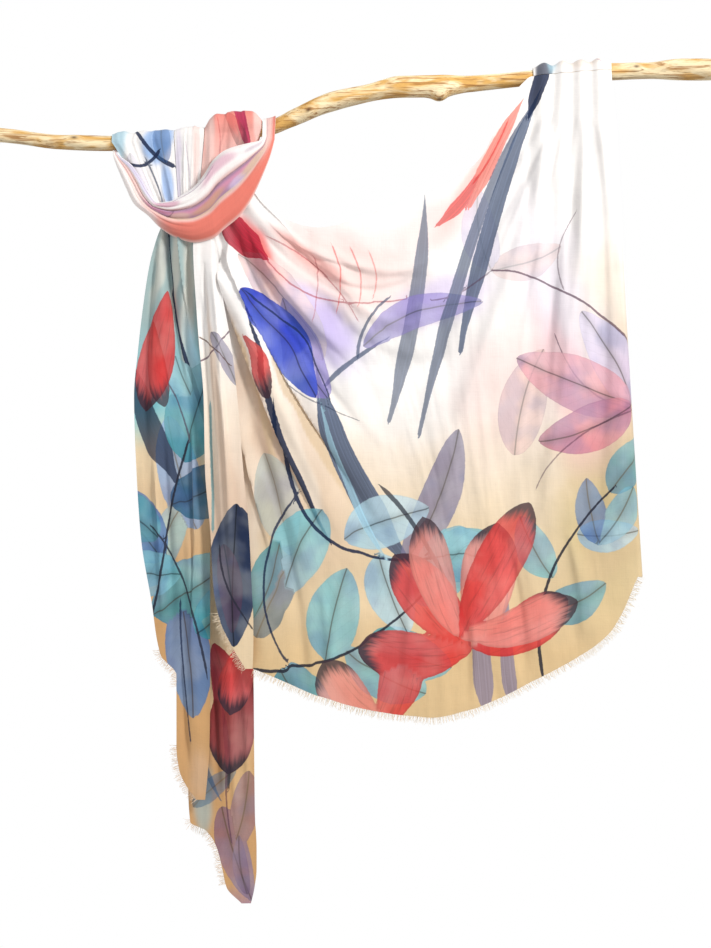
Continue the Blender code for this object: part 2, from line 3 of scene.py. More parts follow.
import bmesh
import bpy
import numpy as np
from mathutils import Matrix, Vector


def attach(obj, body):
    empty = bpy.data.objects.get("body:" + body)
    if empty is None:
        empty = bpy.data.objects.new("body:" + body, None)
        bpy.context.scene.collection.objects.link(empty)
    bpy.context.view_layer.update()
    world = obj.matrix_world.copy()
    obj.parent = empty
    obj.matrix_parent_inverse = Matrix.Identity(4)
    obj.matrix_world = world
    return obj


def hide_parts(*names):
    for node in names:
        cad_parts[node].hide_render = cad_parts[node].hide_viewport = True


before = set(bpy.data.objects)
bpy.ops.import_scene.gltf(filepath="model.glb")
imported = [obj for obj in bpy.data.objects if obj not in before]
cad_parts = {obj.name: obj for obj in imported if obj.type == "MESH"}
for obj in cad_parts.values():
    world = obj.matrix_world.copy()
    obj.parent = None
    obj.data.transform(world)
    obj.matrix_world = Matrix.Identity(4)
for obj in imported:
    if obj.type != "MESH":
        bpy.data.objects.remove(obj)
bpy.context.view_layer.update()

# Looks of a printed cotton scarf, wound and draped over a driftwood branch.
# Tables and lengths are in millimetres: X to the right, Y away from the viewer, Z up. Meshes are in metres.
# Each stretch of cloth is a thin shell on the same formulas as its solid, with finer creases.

MM = 0.001
SOLID_WALL = 1.6       # wall of the cloth solids, about whose middle surface the shells lie
CLOTH = 0.7            # thickness of a shell
SEAM = 0.3             # gap between two stretches that meet
CLOSE = 1.1            # gap between the cloth and the branch

SADDLE_U = 0.78        # share of the panel's width past which it hangs over the branch at the peak
SADDLE_PLEATS = 4
PLEAT_RISE = 2.6
KNOT_U = 0.38          # share of the panel's width that is gathered into the knot
KNOT_WAVES = 4.5
KNOT_FADE = 3.2        # how soon those gathers die out down the panel
HELD_SHARE = 0.12      # share of a panel's height over which it is held at its top
SADDLE_SHARE = 0.10    # share of a panel's height over which it leaves the branch
FRONT_PLEATS = (0.1, 0.75)         # shares of the height between which the peak's pleats die out
REAR_PLEATS = (0.1, 0.6)

FOLD_COLUMNS = 10      # columns of the quarter-round that joins the front and the rear panel
FOLD_REACH = 8.0
FLAT_SHARE = 0.6       # what is left of that reach on the branch, where the cloth lies flat
FLAT_COLUMNS = 6
FOLD_MIDDLE = -1.0     # y at which the two panels meet
CURLED = (0.05, 0.16)  # shares of the height between which the joint goes from flat to round

PATH_STEPS = {"fold": 13, "stem": 15, "spray": 41}     # points on the path of each
FOLD_START_WIDTH = 0.6             # a fold's width at its start, and what it gains by its end
FOLD_WIDENS = 0.8
FOLD_IN = (-0.08, 0.2)             # shares of its length over which a fold fades in and out
FOLD_OUT = (0.7, 1.06)
LATTICE = (97, 89)     # cells of random values behind the ripples, after which they repeat
LATTICE_START = 40

BRANCH = [
    # x, z, y, diameter
    (-571, -66, 6, 20.0),
    (-532, -70, 4, 19.5),
    (-476, -77, 0, 20.0),
    (-406, -79, -2, 20.5),
    (-294, -71, 0, 20.5),
    (-182, -57, 2, 21.0),
    (-150, -43, 1, 25.0),
    (-98, -21, 0, 28.0),
    (-48, -9, 0, 25.5),
    (0, 0, 0, 31.0),
    (56, 1, 2, 32.0),
    (98, 4, 1, 22.0),
    (150, 9, -1, 21.0),
    (238, 18, 0, 24.0),
    (300, 22, 2, 24.0),
    (342, 23, 3, 22.5),
    (398, 25, 2, 30.5),
    (447, 24, 0, 30.0),
]
BRANCH_KNOTS = [
    # x, degrees round the axis (0 up, 90 towards the viewer), length, height
    (-455, 60, 12, 3.0),
    (-128, 95, 9, 2.5),
    (55, 150, 11, 9.0),
    (330, 70, 12, 3.0),
]

PANEL_COLUMNS = [
    # u, top x, y, z, middle x, y, z, hem x, y, z
    (0.00, -270, -15, -205, -247, -14, -480, -205, -14, -812),
    (0.20, -243, -20, -182, -133, -21, -483, -77, -18, -862),
    (0.36, -210, -20, -144, -30, -25, -457, 36, -20, -880),
    (0.40, -183, -20, -174, -8, -25, -452, 58, -20, -880),
    (0.46, -115, -22, -199, 17, -26, -445, 87, -20, -873),
    (0.53, -24, -23, -174, 50, -27, -438, 119, -21, -862),
    (0.60, 66, -22, -138, 84, -27, -431, 150, -21, -848),
    (0.66, 116, -20, -96, 112, -27, -425, 176, -22, -835),
    (0.71, 142, -18, -36, 138, -26, -420, 200, -22, -823),
    (0.78, 186, -14, 13, 182, -25, -410, 232, -22, -805),
    (0.90, 244, -14, 18, 252, -22, -382, 291, -20, -764),
    (1.00, 290, -14, 21, 309, -18, -333, 331, -16, -686),
]
# Every table of folds and creases has the same columns: start x, z, middle x, z, end x, z, width to its left,
# width to its right, depth at its start and at its end. A crease is a finer fold that only the shell has.
PANEL_FOLDS = [
    (-243, -260, -196, -368, -67, -661, 6, 30, -10, -9),
    (-250, -262, -222, -400, -150, -640, 14, 8, 5, 6),
    (-212, -240, -130, -440, -10, -650, 16, 8, 5, 8),
    (-216, -420, -160, -580, -120, -690, 8, 20, -5, -6),
    (-206, -222, -140, -320, -66, -402, 8, 26, -8, -6),
    (-196, -250, -98, -370, 40, -400, 20, 12, 5, 6),
    (-120, -215, -10, -330, 110, -250, 12, 26, -6, -6),
    (-150, -250, 0, -385, 130, -330, 22, 12, 6, 5),
    (219, -10, 178, -72, 96, -238, 10, 7, 8, 6),
    (205, -20, 150, -95, 60, -210, 10, 8, -6, -6),
    (226, -40, 140, -300, 56, -550, 12, 24, -7, -7),
    (214, -60, 105, -250, 5, -480, 20, 9, 5, 7),
    (245, -40, 225, -240, 126, -665, 24, 12, 6, 9),
    (258, -40, 240, -330, 180, -700, 10, 26, -7, -8),
    (270, -60, 285, -330, 262, -700, 24, 10, 5, 8),
    (284, -60, 308, -330, 304, -640, 8, 14, -5, -5),
    (-60, -700, -50, -790, -30, -870, 20, 28, -6, -7),
    (60, -650, 85, -760, 100, -868, 30, 22, 7, 9),
]
PANEL_CREASES = [
    (-246, -236, -205, -378, -90, -650, 2.5, 18, -9, -9),
    (-238, -214, -186, -344, -40, -590, 2.5, 20, -8, -8),
    (-246, -262, -228, -420, -172, -680, 2.5, 12, -7, -7),
    (-226, -205, -168, -326, -20, -520, 9, 4, 5, 4),
    (-214, -196, -150, -300, -30, -420, 3, 12, -6, -3),
    (-204, -190, -120, -270, 20, -330, 4, 10, 4, 2),
    (-186, -186, -90, -245, 60, -262, 3, 10, -4, -3),
    (-150, -215, -50, -285, 70, -235, 8, 3, 4, 2),
    (-100, -225, 0, -262, 100, -180, 4, 9, -3, -3),
    (222, -24, 190, -110, 110, -300, 3, 9, -3, -3),
    (232, -30, 205, -150, 150, -420, 9, 3, 2, 3),
    (250, -40, 235, -160, 200, -560, 4, 14, -2, -5),
    (262, -40, 262, -160, 245, -500, 12, 5, 2, 4),
    (274, -50, 290, -200, 300, -520, 5, 12, -2, -3),
    (284, -90, 304, -260, 318, -560, 8, 5, 2, 3),
    (-236, -560, -214, -660, -196, -800, 10, 16, -5, -5),
    (-160, -620, -140, -740, -134, -845, 14, 6, 4, 5),
    (20, -640, 12, -760, 4, -874, 8, 18, -4, -5),
    (150, -640, 168, -740, 172, -835, 16, 6, 4, 5),
    (232, -620, 252, -710, 256, -782, 7, 16, -5, -5),
    (-110, -700, -100, -780, -96, -850, 6, 12, -3, -4),
    (96, -740, 104, -800, 100, -866, 6, 12, -3, -4),
]

# Where a crease leans over sideways, so that its edge lies on the cloth beside it. The last two columns are
# how far it leans at its start and at its end.
PANEL_LAPS = [
    (-246, -236, -205, -378, -90, -650, 4, 12, -13, -11),
    (-238, -214, -186, -344, -40, -590, 4, 12, -11, -9),
    (-246, -262, -228, -420, -172, -680, 3.5, 10, -8, -8),
    (-186, -186, -90, -245, 60, -262, 4, 9, -4, -3),
]
TAIL_LEFT_LAPS = [
    (-304, -186, -298, -280, -276, -400, 3, 9, -6, -5),
    (-290, -470, -284, -640, -290, -800, 3, 9, -5, -5),
]

TAIL_LEFT_CREASES = [
    (-322, -190, -316, -300, -290, -470, 9, 2.5, 8, 7),
    (-304, -186, -298, -280, -276, -400, 2.5, 10, -6, -6),
    (-338, -225, -350, -360, -354, -520, 10, 3, 6, 6),
    (-290, -470, -284, -640, -290, -800, 3, 10, -6, -6),
    (-344, -520, -336, -640, -330, -760, 3, 10, -6, -6),
    (-306, -800, -300, -880, -296, -950, 8, 3, 4, 4),
]
TAIL_RIGHT_CREASES = [
    (-240, -820, -236, -930, -226, -1060, 3, 8, -3, -4),
    (-262, -800, -258, -900, -250, -1020, 7, 3, 3, 4),
    (-222, -800, -216, -900, -212, -1040, 3, 6, -2, -3),
]
PLEAT_CREASES = [
    (-262, -220, -250, -400, -232, -650, 18, 3, -7, -8),
    (-272, -250, -264, -400, -250, -640, 5, 2, 4, 4),
    (-256, -400, -244, -500, -236, -700, 2, 5, -2, -3),
]
PANEL_RIPPLES = [
    # height, waves across, waves down, seed, share of the way down where it starts, and where it is full
    (1.6, 19, 2.2, 11, 0.08, 0.4),
    (0.7, 44, 5.0, 12, 0.03, 0.2),
    (0.35, 90, 16.0, 13, 0.02, 0.1),
]
HEM_RIPPLE = (1.6, 24, 14, 0.9, 1.0)       # the same without waves down
REAR_RIPPLES = [
    # height, waves across, waves down, seed
    (1.5, 9, 2.0, 22),
    (0.6, 24, 5.0, 23),
]
STRIP_RIPPLES = [
    # height, millimetres across, millimetres along
    (0.8, 14, 150),
    (0.35, 6, 60),
]
BAND_RIPPLES = [
    # share of the bulge, waves across, waves along, seed
    (0.05, 9, 5, 41),
    (0.07, 19, 4.5, 42),
    (0.03, 38, 12, 43),
]

REAR_COLUMNS = [
    # u, top x, y, z, middle x, y, z, hem x, y, z
    (0.00, 290, 14, 21, 309, 13, -333, 331, 12, -686),
    (0.25, 262, 15, 20, 250, 18, -330, 262, 16, -676),
    (0.55, 232, 15, 17, 170, 20, -325, 160, 18, -668),
    (0.80, 206, 15, 15, 110, 18, -320, 70, 16, -655),
    (1.00, 186, 14, 13, 70, 16, -315, 10, 14, -640),
]
REAR_FOLDS = [
    (200, -30, 120, -300, 50, -640, 12, 22, 6, 8),
    (222, -30, 165, -300, 130, -655, 20, 12, -5, -6),
    (245, -30, 220, -330, 190, -660, 12, 24, 6, 9),
    (265, -30, 265, -330, 255, -670, 20, 12, -4, -5),
]

TAIL_LEFT = [
    # z, left x, right x, y
    (-180, -322, -284, -18.8),
    (-207, -336, -280, -18.8),
    (-245, -348, -279, -15),
    (-298, -357, -278, -13),
    (-365, -365, -275, -13),
    (-433, -371, -270, -13),
    (-483, -370, -268, -13),
    (-550, -367, -266, -13),
    (-634, -361, -265, -13),
    (-718, -347, -265, -13),
    (-794, -334, -265, -13),
    (-822, -312, -265, -13),
    (-921, -312, -266, -13),
    (-954, -308, -268, -13),
    (-977, -298, -270, -13),
    (-996, -284, -272, -13),
]
TAIL_LEFT_FOLDS = [
    (-327, -185, -330, -300, -345, -640, 12, 8, -6, -6),
    (-318, -190, -321, -280, -272, -430, 7, 10, 6, 5),
    (-308, -185, -304, -290, -300, -560, 8, 7, -5, -4),
    (-296, -200, -290, -280, -284, -380, 5, 6, 6, 3),
    (-332, -480, -322, -640, -318, -800, 10, 6, 5, 6),
    (-296, -620, -290, -800, -288, -960, 7, 9, -4, -4),
]
TAIL_RIGHT = [
    # z, left x, right x, y
    (-200, -270, -246, -12.5),
    (-225, -271, -242, -9),
    (-298, -273, -233, 4),
    (-438, -268, -219, 6),
    (-578, -265, -208, 6),
    (-718, -286, -206, 6),
    (-858, -297, -205, 6),
    (-970, -297, -204, 6),
    (-1030, -294, -203, 6),
    (-1042, -272, -202, 6),
    (-1068, -256, -201, 6),
    (-1096, -249, -201, 6),
    (-1122, -243, -204, 6),
    (-1144, -222, -209, 6),
]
TAIL_RIGHT_FOLDS = [
    (-262, -250, -252, -480, -250, -1040, 6, 10, -4, -6),
    (-250, -250, -238, -480, -228, -1060, 8, 6, 4, 6),
    (-278, -760, -276, -850, -272, -1000, 8, 6, 4, 5),
]
PLEAT = [
    # z, left x, right x, y
    (-206, -286, -262, -22.2),
    (-224, -288, -256, -23),
    (-250, -287, -252, -27),
    (-298, -284, -246, -29),
    (-354, -280, -236, -30),
    (-438, -273, -226, -30),
    (-536, -271, -218, -30),
    (-620, -264, -210, -30),
    (-704, -259, -206, -30),
    (-746, -250, -204, -30),
    (-780, -234, -204, -30),
    (-812, -215, -205, -30),
]
PLEAT_FOLDS = [
    (-276, -300, -264, -470, -252, -720, 8, 5, 5, 6),
    (-262, -260, -243, -460, -230, -740, 5, 9, -3, -4),
]
WRAPS = [
    # name, left x, right x on the branch, left x, right x at the knot, z of both there, folds, lift
    ("wrap_blue", -402, -315.7, -346, -308.7, -166, -172, 3, 4.0),
    ("wrap_white", -315, -273.6, -308, -281.4, -172, -160, 1, 4.0),
    ("wrap_coral", -272.8, -193.4, -280.6, -209, -160, -114, 3, 20.0),
]
WRAP_CREASES = [
    # share of the way across, slant, width as a share, height as a share of a wave
    (0.13, 0.10, 0.030, 0.30),
    (0.30, -0.16, 0.026, 0.42),
    (0.44, 0.12, 0.040, -0.34),
    (0.61, -0.10, 0.028, 0.36),
    (0.78, 0.14, 0.034, 0.30),
    (0.90, -0.08, 0.026, -0.26),
]
LEG_SHARE = 0.36       # share of a wrap's length in each of its two legs
LEG_DEPTH = -17.0      # y of the front leg at the knot
LEG_WAVE = 5.5         # how far its gathers stand out there
REAR_LEG_DEPTH = -5.0
REAR_LEG_RISE = 6      # the rear leg ends this much higher
REAR_LEG_SWEEP = 1.6   # above 1, it leaves the branch later
WAVE_RISE = 3.0        # how far the gathers stand out on the branch
WAVE_UNEVEN = 0.25     # by what share they differ
CREASE_LEVEL = 0.6     # how far down the legs a crease crosses its own share of the way across
BAND = [
    # outer x, z, inner x, z, y at the edges, bulge of the rolls
    (-400, -97, -393.5, -96, -16.0, 0.5),
    (-397, -106, -386, -103, -22.0, 1.5),
    (-390, -123, -374, -112, -25.0, 3.0),
    (-381, -144, -360, -132, -25.0, 5.0),
    (-370, -166, -349, -151, -25.0, 7.0),
    (-350, -183, -336, -165, -25.0, 9.0),
    (-334, -199, -320, -163, -25.0, 12.0),
    (-312, -213, -304, -155, -25.0, 14.0),
    (-286, -220, -286, -142, -25.0, 15.0),
    (-262, -215, -272, -125, -25.0, 15.0),
    (-243, -200, -260, -106, -25.0, 14.0),
    (-222, -182, -243, -92, -25.0, 12.0),
    (-206, -158, -226, -86, -25.0, 10.0),
    (-192, -128, -210, -82, -24.0, 7.0),
    (-180, -96, -196, -78, -21.0, 3.0),
    (-175, -76, -192, -71, -17.5, 1.5),
]
BAND_ENDS = [
    # outer x, inner x, lift off the branch, degrees round it from its front at the end and at the start
    (-401, -394, 0.2, -115, -55),
    (-174, -192, 1.6, 198, 0),
]
BAND_END_ROWS = (20, 30)
BAND_LENGTH = 330      # the way along the whole band, on the flat cloth
BAND_WIDTH = 60
BAND_PROFILE = [
    # share of the width from the outer edge, share of the bulge
    (0.00, 0.00),
    (0.06, 0.48),
    (0.14, 0.86),
    (0.26, 1.00),
    (0.36, 0.86),
    (0.41, 0.54),
    (0.43, 0.46),
    (0.47, 0.58),
    (0.56, 0.66),
    (0.62, 0.50),
    (0.64, 0.44),
    (0.69, 0.74),
    (0.80, 0.96),
    (0.92, 0.76),
    (1.00, 0.00),
]
BAND_CREASES = [
    # share of the way across, slant along the band, width as a share, depth
    (0.15, 0.12, 0.030, 1.1),
    (0.26, -0.16, 0.028, 0.9),
    (0.33, 0.20, 0.026, -0.7),
    (0.54, 0.14, 0.028, 1.2),
    (0.60, -0.12, 0.026, -0.8),
    (0.76, 0.16, 0.030, 1.4),
    (0.86, -0.12, 0.028, 1.1),
    (0.92, 0.06, 0.026, -0.6),
]


# ---------------------------------------------------------------- shapes


def through(knots, values, at):
    """Smooth curve through the values at the knots, with no overshoot between them."""
    knots = np.asarray(knots, float)
    values = np.asarray(values, float)
    at = np.clip(np.asarray(at, float), knots[0], knots[-1])
    step = np.diff(knots)
    slope = np.diff(values) / step
    tangent = np.zeros(len(knots))
    tangent[0] = slope[0]
    tangent[-1] = slope[-1]
    for i in range(1, len(knots) - 1):
        if slope[i - 1] * slope[i] > 0:
            before = 2 * step[i] + step[i - 1]
            after = step[i] + 2 * step[i - 1]
            tangent[i] = (before + after) / (before / slope[i - 1] + after / slope[i])
    i = np.clip(np.searchsorted(knots, at, side="right") - 1, 0, len(step) - 1)
    t = (at - knots[i]) / step[i]
    rise = tangent[i] * step[i] * t * (1 - t) ** 2 - tangent[i + 1] * step[i] * t * t * (1 - t)
    return values[i] * (1 - t) ** 2 * (1 + 2 * t) + values[i + 1] * t * t * (3 - 2 * t) + rise


def ease(start, end, value):
    t = np.clip((np.asarray(value, float) - start) / (end - start), 0, 1)
    return t * t * (3 - 2 * t)


def ripple(a, b, seed):
    """Smooth uneven waves from -1 to 1, about one to each unit of a and of b."""
    wide, high = LATTICE
    lattice = np.random.default_rng(seed).uniform(-1, 1, LATTICE)
    a, b = np.broadcast_arrays(np.asarray(a, float) + LATTICE_START, np.asarray(b, float) + LATTICE_START)
    i = np.floor(a).astype(int)
    j = np.floor(b).astype(int)
    s = ease(0, 1, a - i)
    t = ease(0, 1, b - j)
    near = lattice[i % wide, j % high] * (1 - s) + lattice[(i + 1) % wide, j % high] * s
    far = lattice[i % wide, (j + 1) % high] * (1 - s) + lattice[(i + 1) % wide, (j + 1) % high] * s
    return near * (1 - t) + far * t


def curve_points(x0, z0, x1, z1, x2, z2, count):
    """Points of the quadratic curve that passes its middle point half-way."""
    t = np.linspace(0, 1, count)
    bend_x = 2 * x1 - (x0 + x2) / 2
    bend_z = 2 * z1 - (z0 + z2) / 2
    x = (1 - t) ** 2 * x0 + 2 * t * (1 - t) * bend_x + t * t * x2
    z = (1 - t) ** 2 * z0 + 2 * t * (1 - t) * bend_z + t * t * z2
    return t, x, z


def nearest_on_curve(curve, x, z, count):
    """Distance to the curve, share along it, and which side of it, for each point."""
    t, path_x, path_z = curve_points(*curve, count)
    nearest = np.full(x.shape, 1e9)
    along = np.zeros(x.shape)
    side = np.zeros(x.shape)
    for i in range(count - 1):
        run_x = path_x[i + 1] - path_x[i]
        run_z = path_z[i + 1] - path_z[i]
        run = run_x ** 2 + run_z ** 2
        share = np.clip(((x - path_x[i]) * run_x + (z - path_z[i]) * run_z) / run, 0, 1)
        off_x = x - path_x[i] - share * run_x
        off_z = z - path_z[i] - share * run_z
        distance = np.hypot(off_x, off_z)
        closer = distance < nearest
        nearest = np.where(closer, distance, nearest)
        along = np.where(closer, t[i] + share * t[1], along)
        side = np.where(closer, run_x * off_z - run_z * off_x, side)
    return nearest, along, side


def fold_depth(folds, x, z):
    """Sum of the folds' depths at x, z. A fold fades in and out at its ends."""
    total = np.zeros(np.broadcast(x, z).shape)
    for *curve, left, right, depth0, depth1 in folds:
        nearest, along, side = nearest_on_curve(curve, x, z, PATH_STEPS["fold"])
        width = np.where(side > 0, right, left) * (FOLD_START_WIDTH + FOLD_WIDENS * along)
        fade = ease(*FOLD_IN, along) * (1 - ease(*FOLD_OUT, along))
        depth = (depth0 + (depth1 - depth0) * along) * fade
        total += depth * np.exp(-(nearest / width) ** 2)
    return total


def branch_at(x, what):
    rows = np.array(BRANCH, float)
    column = {"z": 1, "y": 2, "diameter": 3}[what]
    return through(rows[:, 0], rows[:, column], x)


def column_grid(table, u, v):
    """Points of a panel hung in columns: each is a curve from its top, by its middle, to the hem."""
    rows = np.array(table, float)
    place = [through(rows[:, 0], rows[:, k], u) for k in range(1, 10)]
    top = np.stack(place[0:3], axis=1)[None, :, :]
    middle = np.stack(place[3:6], axis=1)[None, :, :]
    hem = np.stack(place[6:9], axis=1)[None, :, :]
    v = v[:, None, None]
    return top * (1 - v) * (1 - 2 * v) + middle * 4 * v * (1 - v) + hem * v * (2 * v - 1)


def saddle_radius(x):
    return branch_at(x, "diameter") / 2 + CLOSE + SOLID_WALL / 2


def saddle_pleats(u):
    turn = 2 * math.pi * SADDLE_PLEATS * (u - SADDLE_U) / (1 - SADDLE_U)
    return PLEAT_RISE * (1 - np.cos(turn))


def saddle_x(u):
    rows = np.array(PANEL_COLUMNS, float)
    return through(rows[:, 0], rows[:, 1], u)


def front_panel_grid(u, v):
    grid = column_grid(PANEL_COLUMNS, u, v)
    x = grid[:, :, 0]
    z = grid[:, :, 2]
    held = ease(0.0, HELD_SHARE, v)[:, None]
    on_branch = ease(SADDLE_U - 0.02, SADDLE_U, u)[None, :]
    depth = fold_depth(PANEL_FOLDS, x, z) * (1 - on_branch * (1 - held))
    knot_part = (1 - ease(KNOT_U - 0.04, KNOT_U + 0.04, u))[None, :]
    fade = np.exp(-KNOT_FADE * v)[:, None]
    depth += PLEAT_RISE * np.sin(2 * math.pi * KNOT_WAVES * u / KNOT_U)[None, :] * knot_part * fade
    fine = fold_depth(PANEL_CREASES, x, z)
    for height, across, along, seed, start, full in PANEL_RIPPLES:
        fine += height * ripple(u[None, :] * across, v[:, None] * along, seed) * ease(start, full, v)[:, None]
    depth += fine * held
    grid[:, :, 1] += depth
    grid[:, :, 0] += fold_depth(PANEL_LAPS, x, z) * held
    radius = saddle_radius(saddle_x(u)) + saddle_pleats(u)
    front = branch_at(saddle_x(u), "y") - radius
    gathers = (PLEAT_RISE - saddle_pleats(u))[None, :] * (1 - ease(*FRONT_PLEATS, v))[:, None] * on_branch
    down = (1 - ease(0.0, SADDLE_SHARE, v))[:, None] * on_branch
    grid[:, :, 1] = (grid[:, :, 1] + gathers) * (1 - down) + front[None, :] * down
    grid[:, :, 2] += (branch_at(saddle_x(u), "z") - SEAM / 2 - grid[0, :, 2])[None, :] * down
    height, across, seed, start, full = HEM_RIPPLE
    waves = height * ripple(u[None, :] * across, np.zeros((1, 1)), seed)
    grid[:, :, 2] += waves * ease(start, full, v)[:, None]
    return grid


def side_fold(grid, sign):
    """Adds the quarter-round by which a panel turns into the fold at its right-hand side."""
    rows = grid.shape[0]
    edge = grid[:, -1:, :] if sign < 0 else grid[:, :1, :]
    curled = ease(*CURLED, np.linspace(0, 1, rows))[:, None]
    k = np.arange(1, FOLD_COLUMNS + 1)[None, :] / FOLD_COLUMNS
    depth = FOLD_MIDDLE + sign * SEAM / 2 - edge[:, :, 1]
    flat_x = edge[:, :, 0] + FLAT_SHARE * FOLD_REACH * k
    turn = k * math.pi / 2
    round_x = edge[:, :, 0] + FOLD_REACH * np.sin(turn)
    x = flat_x * (1 - curled) + round_x * curled
    y = edge[:, :, 1] + depth * (1 - np.cos(turn)) * curled
    z = np.repeat(edge[:, :, 2], FOLD_COLUMNS, axis=1)
    extra = np.stack([x, y, z], axis=2)
    if sign < 0:
        return np.concatenate([grid, extra], axis=1)
    return np.concatenate([extra[:, ::-1, :], grid], axis=1)


def peak_wrap_grid(rows, cols):
    u = np.concatenate([np.linspace(SADDLE_U, 1, cols - FLAT_COLUMNS), np.ones(FLAT_COLUMNS)])
    x = saddle_x(u)
    x[-FLAT_COLUMNS:] += FLAT_SHARE * FOLD_REACH * np.arange(1, FLAT_COLUMNS + 1) / FLAT_COLUMNS
    radius = saddle_radius(x) + saddle_pleats(u)
    gap = 1.5 * SEAM / radius[None, :]
    angle = gap + np.linspace(0, 1, rows)[:, None] * (math.pi - 2 * gap)
    radius = radius + 0.5 * ripple(u[None, :] * 60, angle * 1.2, 21) * np.sin(angle)
    y = branch_at(x, "y")[None, :] - radius * np.cos(angle)
    z = branch_at(x, "z")[None, :] + radius * np.sin(angle)
    return np.stack([np.broadcast_to(x[None, :], y.shape), y, z], axis=2)


def rear_panel_grid(rows, cols):
    u = np.linspace(0, 1, cols)
    v = np.linspace(0, 1, rows)
    grid = column_grid(REAR_COLUMNS, u, v)
    depth = fold_depth(REAR_FOLDS, grid[:, :, 0], grid[:, :, 2])
    for height, across, along, seed in REAR_RIPPLES:
        depth += height * ripple(u[None, :] * across, v[:, None] * along, seed)
    grid[:, :, 1] += depth * ease(0.0, HELD_SHARE, v)[:, None]
    saddle_u = 1 - u * (1 - SADDLE_U)
    x = saddle_x(saddle_u)
    rear = branch_at(x, "y") + saddle_radius(x) + saddle_pleats(saddle_u)
    down = (1 - ease(0.0, SADDLE_SHARE, v))[:, None]
    gathers = (saddle_pleats(saddle_u) - PLEAT_RISE)[None, :] * (1 - ease(*REAR_PLEATS, v))[:, None]
    grid[:, :, 1] = (grid[:, :, 1] + gathers) * (1 - down) + rear[None, :] * down
    grid[:, :, 2] += (branch_at(x, "z") - SEAM / 2 - grid[0, :, 2])[None, :] * down
    return side_fold(grid, 1)


def strip_grid(table, folds, laps, rows, cols, seed):
    """A tail or strip: cross rows between its left and right edge, with folds along it."""
    data = np.array(table, float)
    heights = -data[:, 0]
    spread = np.linspace(0, 1, len(heights))
    along = np.linspace(0, 1, rows)
    z = through(spread, heights, along)
    left = through(heights, data[:, 1], z)
    right = through(heights, data[:, 2], z)
    y = through(heights, data[:, 3], z)
    t = np.linspace(0, 1, cols)[None, :]
    x = left[:, None] * (1 - t) + right[:, None] * t
    length = z[:, None]
    z = np.repeat(-z[:, None], cols, axis=1)
    fine = sum(height * ripple(x / across, length / down, seed + k)
               for k, (height, across, down) in enumerate(STRIP_RIPPLES))
    fine = fine * ease(0.0, 0.08, along)[:, None]
    y = y[:, None] + fold_depth(folds, x, z) + fine
    x = x + fold_depth(laps, x, z) * np.sin(math.pi * t)
    return np.stack([x, y, z], axis=2)


def wrap_grid(left, right, knot_left, knot_right, knot_z_left, knot_z_right, folds, lift, rows, cols):
    """Cloth over the branch: up the front leg, round the branch, and down the rear leg to the knot."""
    t = np.linspace(0, 1, cols)
    s = np.linspace(0, 1, rows)[:, None]
    x_branch = left + (right - left) * t
    x_knot = knot_left + (knot_right - knot_left) * t
    z_knot = knot_z_left + (knot_z_right - knot_z_left) * t
    wave = np.sin(math.pi * folds * t) ** 2 * (1 - WAVE_UNEVEN + WAVE_UNEVEN * np.sin(5 * t + 1))
    held = np.sin(math.pi * t) ** 0.5
    for place, slant, width, height in WRAP_CREASES:
        across = (t - place - slant * (np.abs(2 * s - 1) - CREASE_LEVEL)) / width
        wave = wave + height * np.exp(-across ** 2) * held
    radius = saddle_radius(x_branch)
    axis_z = branch_at(x_branch, "z")
    axis_y = branch_at(x_branch, "y")
    turn = np.clip((s - LEG_SHARE) / (1 - 2 * LEG_SHARE), 0, 1) * math.pi
    swell = (lift - WAVE_RISE) * np.sin(turn) ** 2 * (1 - (2 * t - 1) ** 4)
    out = radius + wave * WAVE_RISE + swell
    out = out + 0.5 * ripple(t[None, :] * 5 * folds, s * 5, 31) * np.sin(math.pi * s)
    front = np.clip(1 - s / LEG_SHARE, 0, 1)
    rear = np.clip((s - 1 + LEG_SHARE) / LEG_SHARE, 0, 1)
    y = axis_y - np.cos(turn) * out
    z = axis_z + np.sin(turn) * out
    y = y + front * (LEG_DEPTH - LEG_WAVE * (wave - 0.5) - y)
    y = y + rear ** REAR_LEG_SWEEP * (REAR_LEG_DEPTH - y)
    z = z + front * (z_knot - axis_z) + rear * (z_knot + REAR_LEG_RISE - axis_z)
    x = x_branch + (x_knot - x_branch) * (front + rear)
    return np.stack([x, y, z], axis=2)


def band_on_branch(outer, inner, lift, end, start, rows, cols):
    x = np.linspace(outer, inner, cols)[None, :]
    turn = np.radians(np.linspace(end, start, rows))[:, None]
    radius = saddle_radius(x) + lift
    y = branch_at(x, "y") - radius * np.cos(turn)
    z = branch_at(x, "z") + radius * np.sin(turn)
    return np.stack([np.repeat(x, rows, axis=0), y, z], axis=2)


